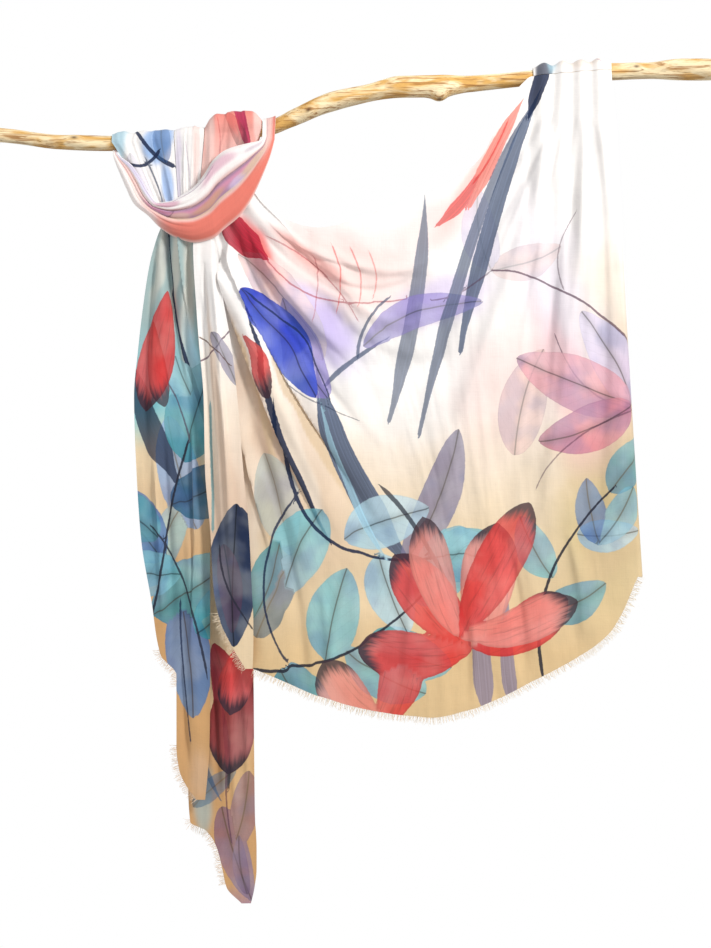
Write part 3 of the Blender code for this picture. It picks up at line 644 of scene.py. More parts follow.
def band_grid(rows, cols):
    data = np.array(BAND, float)
    spread = np.linspace(0, 1, len(data))
    along = np.linspace(0, 1, rows)
    place = [through(spread, data[:, k], along)[:, None] for k in range(6)]
    outer_x, outer_z, inner_x, inner_z, y, bulge = place
    t = np.linspace(0, 1, cols)[None, :]
    x = outer_x * (1 - t) + inner_x * t
    z = outer_z * (1 - t) + inner_z * t
    profile = np.array(BAND_PROFILE, float)
    fine = sum(height * ripple(t * across, along[:, None] * down, seed)
               for height, across, down, seed in BAND_RIPPLES) * np.sin(math.pi * t)
    y = y - bulge * (through(profile[:, 0], profile[:, 1], t) + fine)
    for share, slant, width, depth in BAND_CREASES:
        across = (t - share - slant * (along[:, None] - 0.5)) / width
        y = y + depth * np.exp(-across ** 2) * np.sin(math.pi * t) ** 0.5 * np.sin(math.pi * along[:, None])
    front = np.stack([x, y, z], axis=2)
    left_end = band_on_branch(*BAND_ENDS[0], BAND_END_ROWS[0], cols)
    right_end = band_on_branch(*BAND_ENDS[1], BAND_END_ROWS[1], cols)[::-1]
    return np.concatenate([left_end[:-1], front, right_end[1:]])


def flat_map(grid):
    """Where each point lies on the flat cloth: its X and Z, spread by what the relief takes up."""
    x = grid[:, :, 0]
    z = grid[:, :, 2]
    y = grid[:, :, 1]
    run = np.diff(x, axis=1)
    spare = np.hypot(run, np.diff(y, axis=1)) - run
    spare = np.concatenate([np.zeros((x.shape[0], 1)), np.cumsum(spare, axis=1)], axis=1)
    flat_x = x + spare - spare[:, x.shape[1] // 2][:, None]
    step = np.diff(z, axis=0)
    path = -np.cumsum(np.hypot(step, np.diff(y, axis=0)), axis=0)
    return flat_x, z[:1, :] + np.concatenate([np.zeros((1, z.shape[1])), path], axis=0)


def sheet_normals(grid):
    down = np.gradient(grid, axis=0)
    across = np.gradient(grid, axis=1)
    normal = np.cross(across, down)
    return normal / np.maximum(np.linalg.norm(normal, axis=2, keepdims=True), 1e-9)


# ---------------------------------------------------------------- the print

INKS = {
    "white": "#fdfaf8",
    "cream": "#f9ecdc",
    "sand": "#ecd7b4",
    "deep_sand": "#e2c698",
    "olive_sand": "#d2be8d",
    "rose_beige": "#dfc4ac",
    "blush": "#f8d5cd",
    "coral": "#f2968a",
    "coral_red": "#e4403f",
    "dark_red": "#8c1d26",
    "crimson": "#b40f38",
    "magenta": "#b81f5c",
    "salmon": "#ea8474",
    "rose_pink": "#eda9b4",
    "tan": "#dcc29c",
    "coral_pink": "#e58f9c",
    "lilac": "#ddd0ee",
    "lilac_pink": "#dd9bb8",
    "mauve": "#a98aa8",
    "dusky_mauve": "#94667c",
    "lavender": "#9a8ad6",
    "royal": "#2540cc",
    "sky": "#86b4ea",
    "ice": "#b4dcec",
    "slate": "#5a6a86",
    "navy": "#1f2f52",
    "charcoal": "#2e3040",
    "teal": "#3f9fae",
    "deep_teal": "#1f6282",
    "pale_teal": "#86ccd6",
    "steel": "#3f76b6",
    "sage": "#a9c0c0",
    "ochre": "#d2a673",
    "plum": "#5f3a55",
    "brown": "#6a4a42",
    "grey_lilac": "#8d86a6",
}


def linear(colour):
    """An sRGB hex value as linear light."""
    parts = [int(colour[i:i + 2], 16) / 255 for i in (1, 3, 5)]
    return [p / 12.92 if p <= 0.04045 else ((p + 0.055) / 1.055) ** 2.4 for p in parts]


def spray(stem, leaves, length, width, colours, lean=48, first=0.18, strength=0.9):
    """A thin stem with leaves to either side in turn and one at its tip."""
    _, x, z = curve_points(*stem, PATH_STEPS["spray"])
    last = len(x) - 1
    made = []
    for i in range(leaves):
        share = first + (1 - first) * i / max(leaves - 1, 1)
        k = min(int(share * last), last - 1)
        heading = math.degrees(math.atan2(z[k + 1] - z[k], x[k + 1] - x[k]))
        side = 0 if i == leaves - 1 else (1 if i % 2 else -1)
        size = 1.0 - 0.07 * (i % 3)
        bend = 5 * side if side else 3
        colour = colours[i % len(colours)]
        made.append((x[k], z[k], heading + side * lean, length * size, width * size, bend, colour, strength))
    return made


def blossom(x, z, heading, petals, spread, length, width, colours, strength=0.92):
    """Petals that open like a fan from one point."""
    made = []
    for i in range(petals):
        share = i / max(petals - 1, 1) - 0.5
        size = 1.0 - 0.5 * share * share + 0.05 * (i % 2)
        colour = colours[i % len(colours)]
        turn = heading + spread * share
        made.append((x, z, turn, length * size, width * size, 16 * share, colour, strength))
    return made


def petal_outline(a):
    return 1.22 * a ** 0.62 * np.maximum(1 - a ** 3.4, 0) ** 0.72


def leaf_outline(a):
    return np.sin(math.pi * a ** 0.84) ** 0.62


THINNED = (0.90, 0.92, 0.95)   # linear light of a wash that is nearly all water
DYE_GAMMA = 2.2                # washes are mixed as the eye sees them
MOST_WATER = {"leaf": 0.36, "petal": 0.18}
FURTHEST_OUT = -25             # places in a motif are kept between these, in millimetres inside its edge
FURTHEST_IN = 60


def motif_field(x, z, motifs, outline, from_tip):
    """The motif that each point lies in or nearest to: its ink, and the place in it.

    The place is in millimetres along the motif, to its side, and inside its edge."""
    place = np.zeros(x.shape + (3,))
    place[..., 2] = FURTHEST_OUT
    ink = np.zeros(x.shape + (4,))
    for base_x, base_z, turn, length, width, bend, colour, strength in motifs:
        cosine = math.cos(math.radians(turn))
        sine = math.sin(math.radians(turn))
        a = ((x - base_x) * cosine + (z - base_z) * sine) / length
        b = -(x - base_x) * sine + (z - base_z) * cosine
        b = b - bend * 4 * a * (1 - a)
        share = np.clip(a, 0, 1)
        beyond = np.hypot(np.maximum(np.maximum(-a, a - 1), 0) * length, b)
        inside = np.where((a > 0) & (a < 1), width / 2 * outline(share) - np.abs(b), -beyond)
        closer = inside > place[..., 2]
        along = (1 - a) * length if from_tip else a * length
        found = np.stack([along, b, np.clip(inside, FURTHEST_OUT, FURTHEST_IN)], axis=-1)
        place = np.where(closer[..., None], found, place)
        # The wash thins towards one end and on one half, by another amount in each motif.
        depth = 0.5 + 0.5 * math.sin(base_x * 0.37 + base_z * 0.21 + turn)
        most = MOST_WATER["petal" if from_tip else "leaf"]
        half = b * (1 if depth > 0.5 else -1)
        thin = (0.04 + most * depth) * ease(0.1, 1.0, share) + 0.13 * ease(-6, 10, half)
        full = np.array(linear(INKS[colour])) ** (1 / DYE_GAMMA)
        water = np.array(THINNED) ** (1 / DYE_GAMMA)
        dyed = (full * (1 - thin[..., None]) + water * thin[..., None]) ** DYE_GAMMA
        dyed = np.concatenate([dyed, np.full(x.shape + (1,), strength)], axis=-1)
        ink = np.where(closer[..., None], dyed, ink)
    return place, ink


BLADE_WIDTH = 7.0      # strokes wider than this narrow to a point at both ends


def stem_field(x, z, stems):
    """The stem that each point lies on or nearest to: its ink, and the place on it.

    A stem is a curve through three points, as wide at its start and at its end as stated. The place is in
    millimetres to its side, half its width there, and inside its edge."""
    place = np.zeros(x.shape + (3,))
    place[..., 2] = FURTHEST_OUT
    ink = np.zeros(x.shape + (4,))
    for *curve, width0, width1, colour, strength in stems:
        nearest, along, side = nearest_on_curve(curve, x, z, PATH_STEPS["stem"])
        half = (width0 + (width1 - width0) * along) / 2 * ease(-0.02, 0.07, along)
        if max(width0, width1) > BLADE_WIDTH:
            half = half * ease(-0.05, 0.35, along) * (1 - 0.75 * ease(0.72, 1.0, along))
        inside = np.clip(half - nearest, FURTHEST_OUT, FURTHEST_IN)
        closer = inside > place[..., 2]
        found = np.stack([np.sign(side) * np.minimum(nearest, FURTHEST_IN), half, inside], axis=-1)
        place = np.where(closer[..., None], found, place)
        ink = np.where(closer[..., None], np.array(linear(INKS[colour]) + [strength]), ink)
    return place, ink


def ground_field(x, z, ramp, patches, seed):
    """The broad washes: a ramp of inks down the cloth, with soft or firm patches over it. Some patches are
    painted shade, and one is a painted highlight, along folds.
    """
    waver_x = 10 * ripple(x / 42, z / 42, seed) + 4 * ripple(x / 15, z / 15, seed + 1)
    waver_z = 10 * ripple(x / 42, z / 42, seed + 2) + 4 * ripple(x / 15, z / 15, seed + 3)
    heights = np.array([-row[0] for row in ramp], float)
    stops = np.array([linear(INKS[row[1]]) for row in ramp])
    down = -(z + waver_z * ease(100, 600, heights[-1] - heights[0]))
    colour = np.stack([np.interp(down, heights, stops[:, k]) for k in range(3)], axis=-1)
    for patch_x, patch_z, radius_along, radius_across, turn, ink, strength, firm in patches:
        cosine = math.cos(math.radians(turn))
        sine = math.sin(math.radians(turn))
        size = min(1.0, radius_across / 30)
        dx = x + waver_x * size - patch_x
        dz = z + waver_z * size - patch_z
        a = (dx * cosine + dz * sine) / radius_along
        b = (-dx * sine + dz * cosine) / radius_across
        cover = strength / (1 + np.exp(np.clip((np.hypot(a, b) - 1) * firm * 2.5, -30, 30)))
        colour = colour * (1 - cover[..., None]) + np.array(linear(INKS[ink])) * cover[..., None]
    return colour


# The fan of large petals at the panel's right, drawn in three layers so that each lies over the one before.
RIGHT_FAN = blossom(330, -446, 160, 3, 84, 168, 74, ["lilac", "rose_pink", "coral_pink"], 0.88)

# The print of each stretch, in its own flat millimetres, from the lowest layer to the highest, with painted
# shade and a painted highlight along some folds, marked where they stand.
# ramp: z, ink. Patches: x, z, radius along, across, turn, ink, strength, firmness.
# blade and stem: start x, z, middle x, z, end x, z, width at start, at end, ink, strength.
# veil, leaf and petal: base x, z, heading, length, width, bend, ink, strength.
PRINT_AND_PAINTED_SHADING = {
    "front_panel": {
        "ramp": [(40, "white"), (-400, "white"), (-500, "cream"), (-640, "sand"), (-800, "deep_sand"),
                 (-900, "deep_sand")],
        "patches": [
            (-150, -560, 150, 66, -62, "rose_beige", 0.5, 2),
            (292, -574, 160, 66, 88, "olive_sand", 0.95, 2),
            (300, -640, 70, 34, 60, "tan", 0.6, 2),
            (300, -330, 110, 40, 86, "cream", 0.9, 2),
            (318, -430, 90, 30, 84, "tan", 0.7, 2),
            (-80, -262, 100, 54, -12, "blush", 0.6, 2),
            (60, -190, 60, 26, 40, "blush", 0.4, 2),
            (-178, -285, 90, 20, -60, "coral", 0.75, 3),
            (-130, -240, 60, 10, -38, "coral", 0.5, 3),
            (-214, -222, 46, 22, -62, "coral_red", 0.7, 4),
            (-128, -330, 76, 46, -40, "lilac", 0.9, 4),
            (-84, -360, 60, 30, -60, "lavender", 0.35, 3),
            (-232, -460, 130, 24, -72, "rose_beige", 0.8, 3),
            # Painted shadow: an ochre strip down the panel beside the folded margin, where the margin shades
            # it.
            (-222, -640, 170, 15, -86, "ochre", 0.6, 3),
            (-226, -560, 120, 20, -80, "cream", 0.7, 3),
            # Painted highlight: a pale cream streak along the ridge of a fold from the knot.
            (-160, -500, 120, 12, -67, "cream", 0.9, 4),
            (14, -430, 120, 70, 10, "white", 0.9, 2),
            (112, -118, 84, 12, 58, "blush", 0.8, 3),
            (236, -330, 150, 50, -70, "lilac", 0.32, 2),
            (232, -410, 90, 26, -70, "rose_pink", 0.45, 2),
            (268, -470, 70, 40, 70, "blush", 0.6, 2),
            (150, -420, 90, 60, 60, "blush", 0.45, 2),
            (60, -300, 70, 30, 20, "lilac", 0.7, 3),
            (-40, -700, 110, 40, 20, "sand", 0.6, 2),
            # Painted shade: four firm rose-beige and tan strips just beside the steep sides of the folds that
            # fan out from the knot.
            (-200, -490, 160, 13, -67, "rose_beige", 0.9, 9),
            (-186, -610, 70, 8, -66, "tan", 0.7, 9),
            (-142, -468, 130, 10, -59, "tan", 0.7, 9),
            (-222, -440, 110, 6, -70, "tan", 0.6, 9),
        ],
        "veil": (
            RIGHT_FAN[:1]
            + blossom(128, -262, 60, 2, 80, 126, 56, ["blush", "lilac"], 0.45)
            + [(-236, -236, -50, 196, 66, 10, "blush", 0.7), (160, -520, 74, 156, 66, 8, "blush", 0.7)]
            + [(-206, -520, -70, 150, 60, 6, "sage", 0.6)]
        ),
        "blade": [
            (200, 0, 138, -160, 84, -372, 17, 26, "slate", 0.9),
            (334, -452, 262, -420, 222, -350, 3.0, 1.6, "plum", 0.7),
            (240, -290, 228, -230, 252, -176, 2.4, 1.4, "plum", 0.55),
            (-120, -392, -78, -530, 10, -668, 26, 48, "slate", 0.95),
            # Partly print and partly painted shade: a navy stroke along the edge of a fold from the knot.
            (-240, -296, -190, -460, -98, -640, 7.5, 12, "navy", 0.95),
            (34, -150, 22, -300, -16, -470, 16, 24, "slate", 0.75),
            (174, -16, 136, -84, 96, -170, 10, 28, "coral", 0.9),
            (124, -96, 96, -150, 52, -196, 9, 22, "coral_red", 0.75),
            (-208, -226, -120, -296, 10, -302, 2.8, 1.8, "crimson", 0.6),
            (-190, -210, -112, -262, -60, -330, 2.2, 1.4, "crimson", 0.5),
            (-118, -436, -72, -390, -16, -356, 9.0, 4.0, "slate", 0.85),
            (104, -690, 112, -790, 120, -890, 18, 32, "grey_lilac", 0.8),
            (150, -700, 148, -790, 160, -880, 12, 24, "grey_lilac", 0.8),
        ],
        "leaf_low": (
            [(-104, -440, 116, 156, 60, 10, "lavender", 0.8)]
            + RIGHT_FAN[1:2]
            + spray((-205, -810, -96, -800, 24, -716), 4, 142, 80, ["teal", "pale_teal"], 56)
            + spray((200, -806, 214, -690, 300, -560), 4, 104, 54, ["teal", "pale_teal", "ice"],
                    52, 0.28, 0.82)
            + [(6, -668, 68, 200, 56, -12, "grey_lilac", 0.85), (-52, -366, 20, 180, 46, 18, "lavender", 0.7)]
            + [(34, -850, 152, 130, 66, 8, "pale_teal", 0.85)]
        ),
        "leaf_high": (
            spray((-128, -560, -70, -640, 30, -664), 4, 134, 78, ["pale_teal", "ice", "ice"], 56)
            + [(-244, -286, -51, 196, 62, 10, "royal", 0.97)]
            + [(-170, -640, -112, 120, 60, 5, "teal", 0.85), (-206, -770, 62, 128, 56, 6, "deep_teal", 0.7)]
            + [(284, -640, 104, 94, 46, 6, "steel", 0.75), (330, -560, -122, 96, 46, 5, "pale_teal", 0.8)]
            + RIGHT_FAN[2:]
        ),
        "stem": [
            (-215, -812, -96, -802, 30, -712, 5.0, 3.0, "charcoal", 0.95),
            (200, -836, 210, -690, 300, -560, 5.0, 2.8, "charcoal", 0.95),
            (-190, -440, -120, -620, 40, -662, 6.0, 3.4, "navy", 0.95),
            (-148, -570, -196, -700, -160, -806, 3.6, 2.6, "navy", 0.9),
            (-118, -430, -76, -560, -20, -664, 8.0, 12, "ice", 0.7),
            (332, -360, 240, -290, 128, -262, 3.6, 2.4, "plum", 0.8),
            (334, -452, 240, -500, 190, -566, 2.6, 1.6, "plum", 0.6),
            (128, -262, 84, -290, 44, -302, 2.6, 2.0, "plum", 0.55),
            (190, -18, 106, -200, 26, -492, 8, 22, "slate", 0.8),
            (-238, -288, -150, -352, -100, -442, 3.2, 2.2, "navy", 0.8),
            (-252, -178, -230, -208, -196, -242, 36, 44, "crimson", 0.9),
            (208, 34, 194, 0, 180, -46, 24, 16, "navy", 0.95),
            (-60, -384, -50, -340, -16, -300, 5.0, 3.0, "slate", 0.8),
            (-30, -560, 40, -650, 96, -786, 6.5, 4.8, "charcoal", 0.85),
            (-96, -222, -84, -270, -90, -318, 2.2, 1.4, "coral_red", 0.6),
            (-70, -226, -56, -270, -58, -310, 2.2, 1.4, "coral_red", 0.55),
            (-44, -232, -34, -268, -38, -300, 2.0, 1.4, "coral_red", 0.5),
            (-124, -238, -116, -280, -128, -330, 2.0, 1.4, "crimson", 0.45),
            (-212, -352, -160, -420, -60, -470, 2.2, 1.4, "navy", 0.6),
            (100, -140, 128, -98, 150, -50, 3.2, 2.0, "coral_red", 0.7),
        ],
        "petal_low": (
            blossom(100, -792, 104, 4, 150, 176, 98, ["coral_red", "coral", "coral_red"], 0.96)
            + [(-246, -350, -62, 104, 34, 6, "coral_red", 0.92)]
            + blossom(-26, -900, 104, 2, 56, 136, 90, ["coral_red", "coral"], 0.92)
        ),
        "petal_high": blossom(80, -776, 62, 3, 88, 204, 84, ["coral", "coral_red", "coral"], 0.9),
    },
    "rear_panel": {
        "ramp": [(40, "white"), (-300, "cream"), (-480, "sand"), (-720, "deep_sand")],
        "patches": [
            (150, -260, 120, 60, 60, "blush", 0.6, 2),
            (260, -420, 130, 50, 80, "lilac", 0.5, 2),
            (90, -560, 90, 50, 20, "rose_beige", 0.6, 2),
        ],
        "veil": blossom(120, -330, 60, 3, 110, 150, 60, ["lilac", "lilac_pink"], 0.5),
        "blade": [(240, 0, 200, -220, 150, -420, 6, 16, "slate", 0.75)],
        "leaf_low": (
            spray((60, -640, 140, -600, 200, -500), 5, 92, 44, ["teal", "pale_teal", "steel"])
            + spray((300, -650, 290, -560, 230, -460), 4, 84, 38, ["pale_teal", "teal"])
        ),
        "stem": [
            (60, -640, 140, -600, 200, -500, 4, 2, "charcoal", 0.85),
            (300, -650, 290, -560, 230, -460, 4, 2, "navy", 0.85),
        ],
        "petal_low": blossom(250, -330, 110, 4, 130, 110, 50, ["coral_red", "coral"], 0.9),
    },
    "peak_wrap": {
        "ramp": [(120, "white"), (-60, "white")],
        "patches": [(200, 6, 26, 12, 78, "navy", 0.85, 7), (214, 30, 30, 8, 80, "ice", 0.6, 4),
                    # The rose-beige patch is painted shade along the top of the cloth where it turns over the
                    # branch.
                    (258, 26, 34, 20, 4, "rose_beige", 0.4, 3)],
        "stem": [(290, 10, 270, 34, 286, 70, 2, 1.2, "mauve", 0.5)],
    },
    "wrap_blue": {
        "ramp": [(160, "ice"), (-60, "white"), (-180, "white")],
        "patches": [
            (-398, -90, 70, 16, 80, "ice", 0.8, 4),
            (-334, -74, 34, 18, 70, "sky", 0.8, 5),
            (-322, -140, 34, 9, 100, "sky", 0.7, 4),
            (-330, 60, 60, 30, 80, "lavender", 0.6, 3),
        ],
        "veil": [(-350, -180, 108, 90, 30, 4, "lilac", 0.35)],
        "blade": [(-378, -40, -352, -86, -316, -112, 4.5, 6.5, "navy", 0.95)],
        "leaf_low": [(-326, -108, 96, 66, 26, 3, "steel", 0.6)],
        "stem": [
            (-392, -104, -360, -112, -336, -92, 4.0, 5.0, "navy", 0.95),
            (-356, -100, -338, -140, -330, -172, 2.5, 2.0, "slate", 0.8),
            (-378, -52, -388, 0, -350, 80, 5.0, 6.0, "navy", 0.9),
        ],
    },
    "wrap_white": {
        "ramp": [(160, "white"), (-200, "white")],
        "patches": [(-312, -120, 60, 5, 88, "lilac", 0.5, 3), (-284, -80, 60, 5, 92, "blush", 0.6, 3)],
        "stem": [(-300, -76, -294, -120, -290, -166, 1.6, 1.2, "mauve", 0.45)],
    },
    "wrap_coral": {
        "ramp": [(160, "coral"), (-40, "coral"), (-120, "blush"), (-170, "blush")],
        "patches": [
            (-268, -70, 60, 8, 92, "blush", 0.9, 4),
            (-238, -110, 40, 12, 70, "blush", 0.5, 2),
            (-197, -60, 46, 6, 95, "blush", 0.85, 4),
        ],
        "blade": [(-232, 20, -222, -44, -206, -96, 17, 11, "magenta", 0.88)],
        "stem": [(-256, -40, -252, -90, -262, -140, 1.6, 1.2, "crimson", 0.4)],
        "petal_low": [(-246, -30, -64, 70, 26, 3, "coral_red", 0.45)],
    },
    "knot_band": {
        # Here x is the way along the band from its left end and z the way across it, from its outer edge.
        "ramp": [(0, "blush"), (-3, "salmon"), (-20, "salmon"), (-23, "blush"), (-25.5, "rose_beige"),
                 (-26.5, "mauve"), (-33, "lilac_pink"), (-37, "mauve"), (-39, "blush"), (-42, "white"),
                 (-60, "white")],
        "patches": [
            (36, -12, 84, 24, 0, "white", 0.95, 5),
            (110, -22, 40, 4, 0, "blush", 0.6, 4),
            (60, -34, 40, 9, 0, "blush", 0.85, 4),
            (66, -52, 44, 7, 0, "lavender", 0.35, 4),
            (128, -50, 20, 5, 0, "lilac_pink", 0.7, 4),
            (205, -52, 26, 5, 0, "lilac_pink", 0.6, 3),
            (262, -50, 18, 4, 0, "mauve", 0.4, 3),
            (186, -31, 22, 4, 0, "ochre", 0.6, 4),
            (150, -30, 12, 5, 0, "rose_beige", 0.6, 4),
            (226, -28, 12, 4, 0, "lilac", 0.6, 4),
            (262, -30, 30, 5, 0, "rose_beige", 0.9, 4),
            (318, -24, 50, 18, 0, "blush", 0.9, 3),
        ],
        "stem": [
            (136, -24, 140, -30, 143, -38, 1.8, 1.5, "plum", 0.5),
            # The two long plum and mauve strokes along the band are painted shade in two of its creases.
            (30, -38.6, 160, -38.0, 300, -38.6, 1.5, 1.4, "plum", 0.45),
            (50, -52.5, 120, -55.0, 200, -54.0, 1.4, 1.2, "mauve", 0.5),
        ],
    },
    "edge_pleat": {
        "ramp": [(-200, "white"), (-330, "white"), (-460, "cream"), (-620, "rose_beige"), (-760, "sand"),
                 (-820, "sand")],
        "patches": [
            # Both patches are painted shade: narrow rose-beige strips down the margin along its folds.
            (-252, -480, 170, 7, 96, "rose_beige", 0.7, 3),
            (-226, -600, 90, 10, 96, "rose_beige", 0.6, 2),
        ],
        "blade": [(-286, -386, -260, -372, -232, -344, 2.6, 1.8, "plum", 0.8)],
        "leaf_low": [(-262, -346, -62, 84, 24, 3, "grey_lilac", 0.8),
                     (-224, -586, -92, 196, 72, -5, "navy", 1.0)],
        "leaf_high": [(-246, -640, -84, 124, 34, 4, "plum", 0.55)],
        "stem": [
            (-286, -352, -262, -366, -232, -392, 2.2, 1.6, "brown", 0.85),
            (-271, -440, -269, -520, -263, -620, 4.0, 4.0, "teal", 0.7),
            (-252, -640, -240, -700, -206, -756, 3.2, 2.2, "charcoal", 0.85),
        ],
    },
    "tail_left": {
        "ramp": [(-170, "sage"), (-320, "sage"), (-440, "pale_teal"), (-520, "sand"), (-700, "ochre"),
                 (-900, "ochre"), (-1000, "ochre")],
        "patches": [
            (-312, -250, 90, 8, 86, "cream", 0.5, 3),
            (-290, -330, 130, 10, 86, "cream", 0.55, 3),
            (-346, -250, 60, 10, 80, "cream", 0.45, 3),
            (-330, -210, 40, 10, 80, "slate", 0.3, 3),
            (-280, -420, 90, 12, 96, "ice", 0.8, 3),
            (-350, -640, 60, 22, 90, "sand", 0.7, 3),
            (-290, -880, 60, 24, 90, "ochre", 0.7, 2),
            (-280, -970, 34, 14, 90, "rose_beige", 0.4, 2),
        ],
        "veil": [(-280, -620, 106, 160, 70, 6, "sky", 0.75), (-360, -700, 62, 130, 60, 5, "pale_teal", 0.7)],
        "blade": [(-328, -196, -312, -320, -270, -470, 3.5, 7, "navy", 0.95),
                  (-378, -390, -354, -470, -312, -556, 26, 38, "navy", 0.85)],
        "leaf_low": (
            spray((-352, -790, -332, -650, -300, -520), 4, 150, 84, ["teal", "steel", "deep_teal"], 48)
            + [(-306, -720, -84, 168, 66, 4, "steel", 0.9), (-262, -480, 118, 110, 56, 4, "pale_teal", 0.85)]
        ),
        "leaf_high": spray((-274, -810, -300, -700, -346, -630), 3, 124, 68, ["teal", "pale_teal"], 54),
        "stem": [
            (-356, -800, -332, -650, -296, -500, 4.2, 2.8, "charcoal", 0.95),
            (-268, -830, -300, -700, -356, -616, 3.6, 2.4, "charcoal", 0.9),
            (-306, -720, -304, -800, -292, -920, 3.0, 2.0, "navy", 0.85),
            (-292, -500, -318, -430, -356, -392, 2.6, 1.8, "plum", 0.7),
        ],
        "petal_low": [(-330, -290, -100, 168, 74, 4, "coral_red", 0.94)],
        "petal_high": [(-350, -330, -80, 126, 40, -4, "coral_red", 0.85)],
    },
    "tail_right": {
        "ramp": [(-190, "sage"), (-400, "pale_teal"), (-560, "cream"), (-760, "sand"), (-960, "ochre"),
                 (-1120, "ochre"), (-1160, "mauve")],
        "patches": [
            (-276, -1000, 50, 12, 90, "sage", 0.7, 3),
            (-286, -930, 50, 9, 86, "grey_lilac", 0.5, 3),
            (-220, -990, 50, 16, 90, "deep_sand", 0.6, 2),
        ],
        "veil": [(-210, -960, -104, 130, 40, 6, "dusky_mauve", 0.7),
                 (-250, -1010, -72, 140, 44, -4, "dusky_mauve", 0.8)],
        "blade": [(-296, -880, -280, -940, -252, -1000, 5, 8, "slate", 0.75)],
        "leaf_low": [(-290, -1010, 40, 80, 30, 3, "deep_teal", 0.6),
                     (-222, -700, 110, 110, 40, 3, "teal", 0.7)],
        "leaf_high": [(-214, -1134, 98, 84, 22, 4, "dusky_mauve", 0.6)],
        "stem": [(-236, -920, -244, -980, -236, -1060, 2.4, 2.0, "plum", 0.7),
                 (-250, -860, -242, -930, -240, -985, 7.5, 8, "charcoal", 0.85)],
        "petal_low": [(-216, -790, -98, 176, 92, -5, "dark_red", 0.97),
                      (-262, -780, -74, 130, 70, 4, "crimson", 0.92)],
        "petal_high": [(-206, -770, -106, 116, 66, -4, "coral_red", 0.97)],
    },
}


# ---------------------------------------------------------------- materials


def node(tree, kind, inputs=None, out=0, **settings):
    """Adds one node with its settings, and values or links on its inputs. Gives back one of its outputs."""
    made = tree.nodes.new(kind)
    for key, value in settings.items():
        setattr(made, key, value)
    for key, value in (inputs or {}).items():
        socket = made.inputs[key]
        if isinstance(value, bpy.types.NodeSocket):
            tree.links.new(value, socket)
        else:
            socket.default_value = value
    return made.outputs[out] if made.outputs else made


SMOOTH = {"interpolation_type": "SMOOTHSTEP"}     # a step with soft ends, for a Map Range node
RGBA = {"data_type": "RGBA"}                      # for a Mix node: colours are inputs 6 and 7, and output 2
PAINT_INPUTS = [("Under", "Color"), ("Ink", "Color"), ("Strength", "Float"), ("Place", "Vector"),
                ("Waver", "Float"), ("Wash", "Float"), ("Hue", "Float")]
EDGE_WAVER = 1.8       # how far a motif's edge wanders, in millimetres
SHOWS_THROUGH = 0.22   # share of the colour under a motif that its ink lets through


def new_paint(name):
    """A shader group that lays one layer of motifs over the colour under it."""
    tree = bpy.data.node_groups.new(name, "ShaderNodeTree")
    for label, kind in PAINT_INPUTS:
        tree.interface.new_socket(label, in_out="INPUT", socket_type="NodeSocket" + kind)
    tree.interface.new_socket("Result", in_out="OUTPUT", socket_type="NodeSocketColor")
    enter = tree.nodes.new("NodeGroupInput")
    place = node(tree, "ShaderNodeSeparateXYZ", {0: enter.outputs["Place"]}).node
    return tree, enter.outputs, place.outputs


def wavering_edge(tree, enter, place):
    """How far inside the motif's uneven edge a point lies, and the mask that this gives."""
    edge = node(tree, "ShaderNodeMath", {0: enter["Waver"], 1: EDGE_WAVER, 2: place[2]},
                operation="MULTIPLY_ADD")
    return edge, node(tree, "ShaderNodeMapRange", {0: edge, 1: -0.4, 2: 0.6}, **SMOOTH)


def laid_over(tree, enter, inked, mask):
    """Ink over the colour under it: part of that colour shows through, as with dye on cloth."""
    under = enter["Under"]
    both = node(tree, "ShaderNodeMix", {0: 1.0, 6: inked, 7: under}, 2, blend_type="MULTIPLY", **RGBA)
    dyed = node(tree, "ShaderNodeMix", {0: SHOWS_THROUGH, 6: inked, 7: both}, 2, **RGBA)
    cover = node(tree, "ShaderNodeMath", {0: mask, 1: enter["Strength"]}, operation="MULTIPLY")
    result = node(tree, "ShaderNodeMix", {0: cover, 6: under, 7: dyed}, 2, **RGBA)
    node(tree, "NodeGroupOutput", {"Result": result})


VEIN_GAP = 8.5         # millimetres between a leaf's side veins
STREAK = (1 / 70, 1 / 4.2, 0)      # a petal's streaks are about 70 mm long and 4 mm wide
BRISTLE = (1 / 2.2, 0, 0)          # a dry brush leaves marks about 2 mm wide along its stroke
WET_LEAF = (0.84, 0.91, 0.93, 1)   # linear light of the ink where the cloth was wet
WET_PETAL = (0.98, 0.62, 0.55, 1)


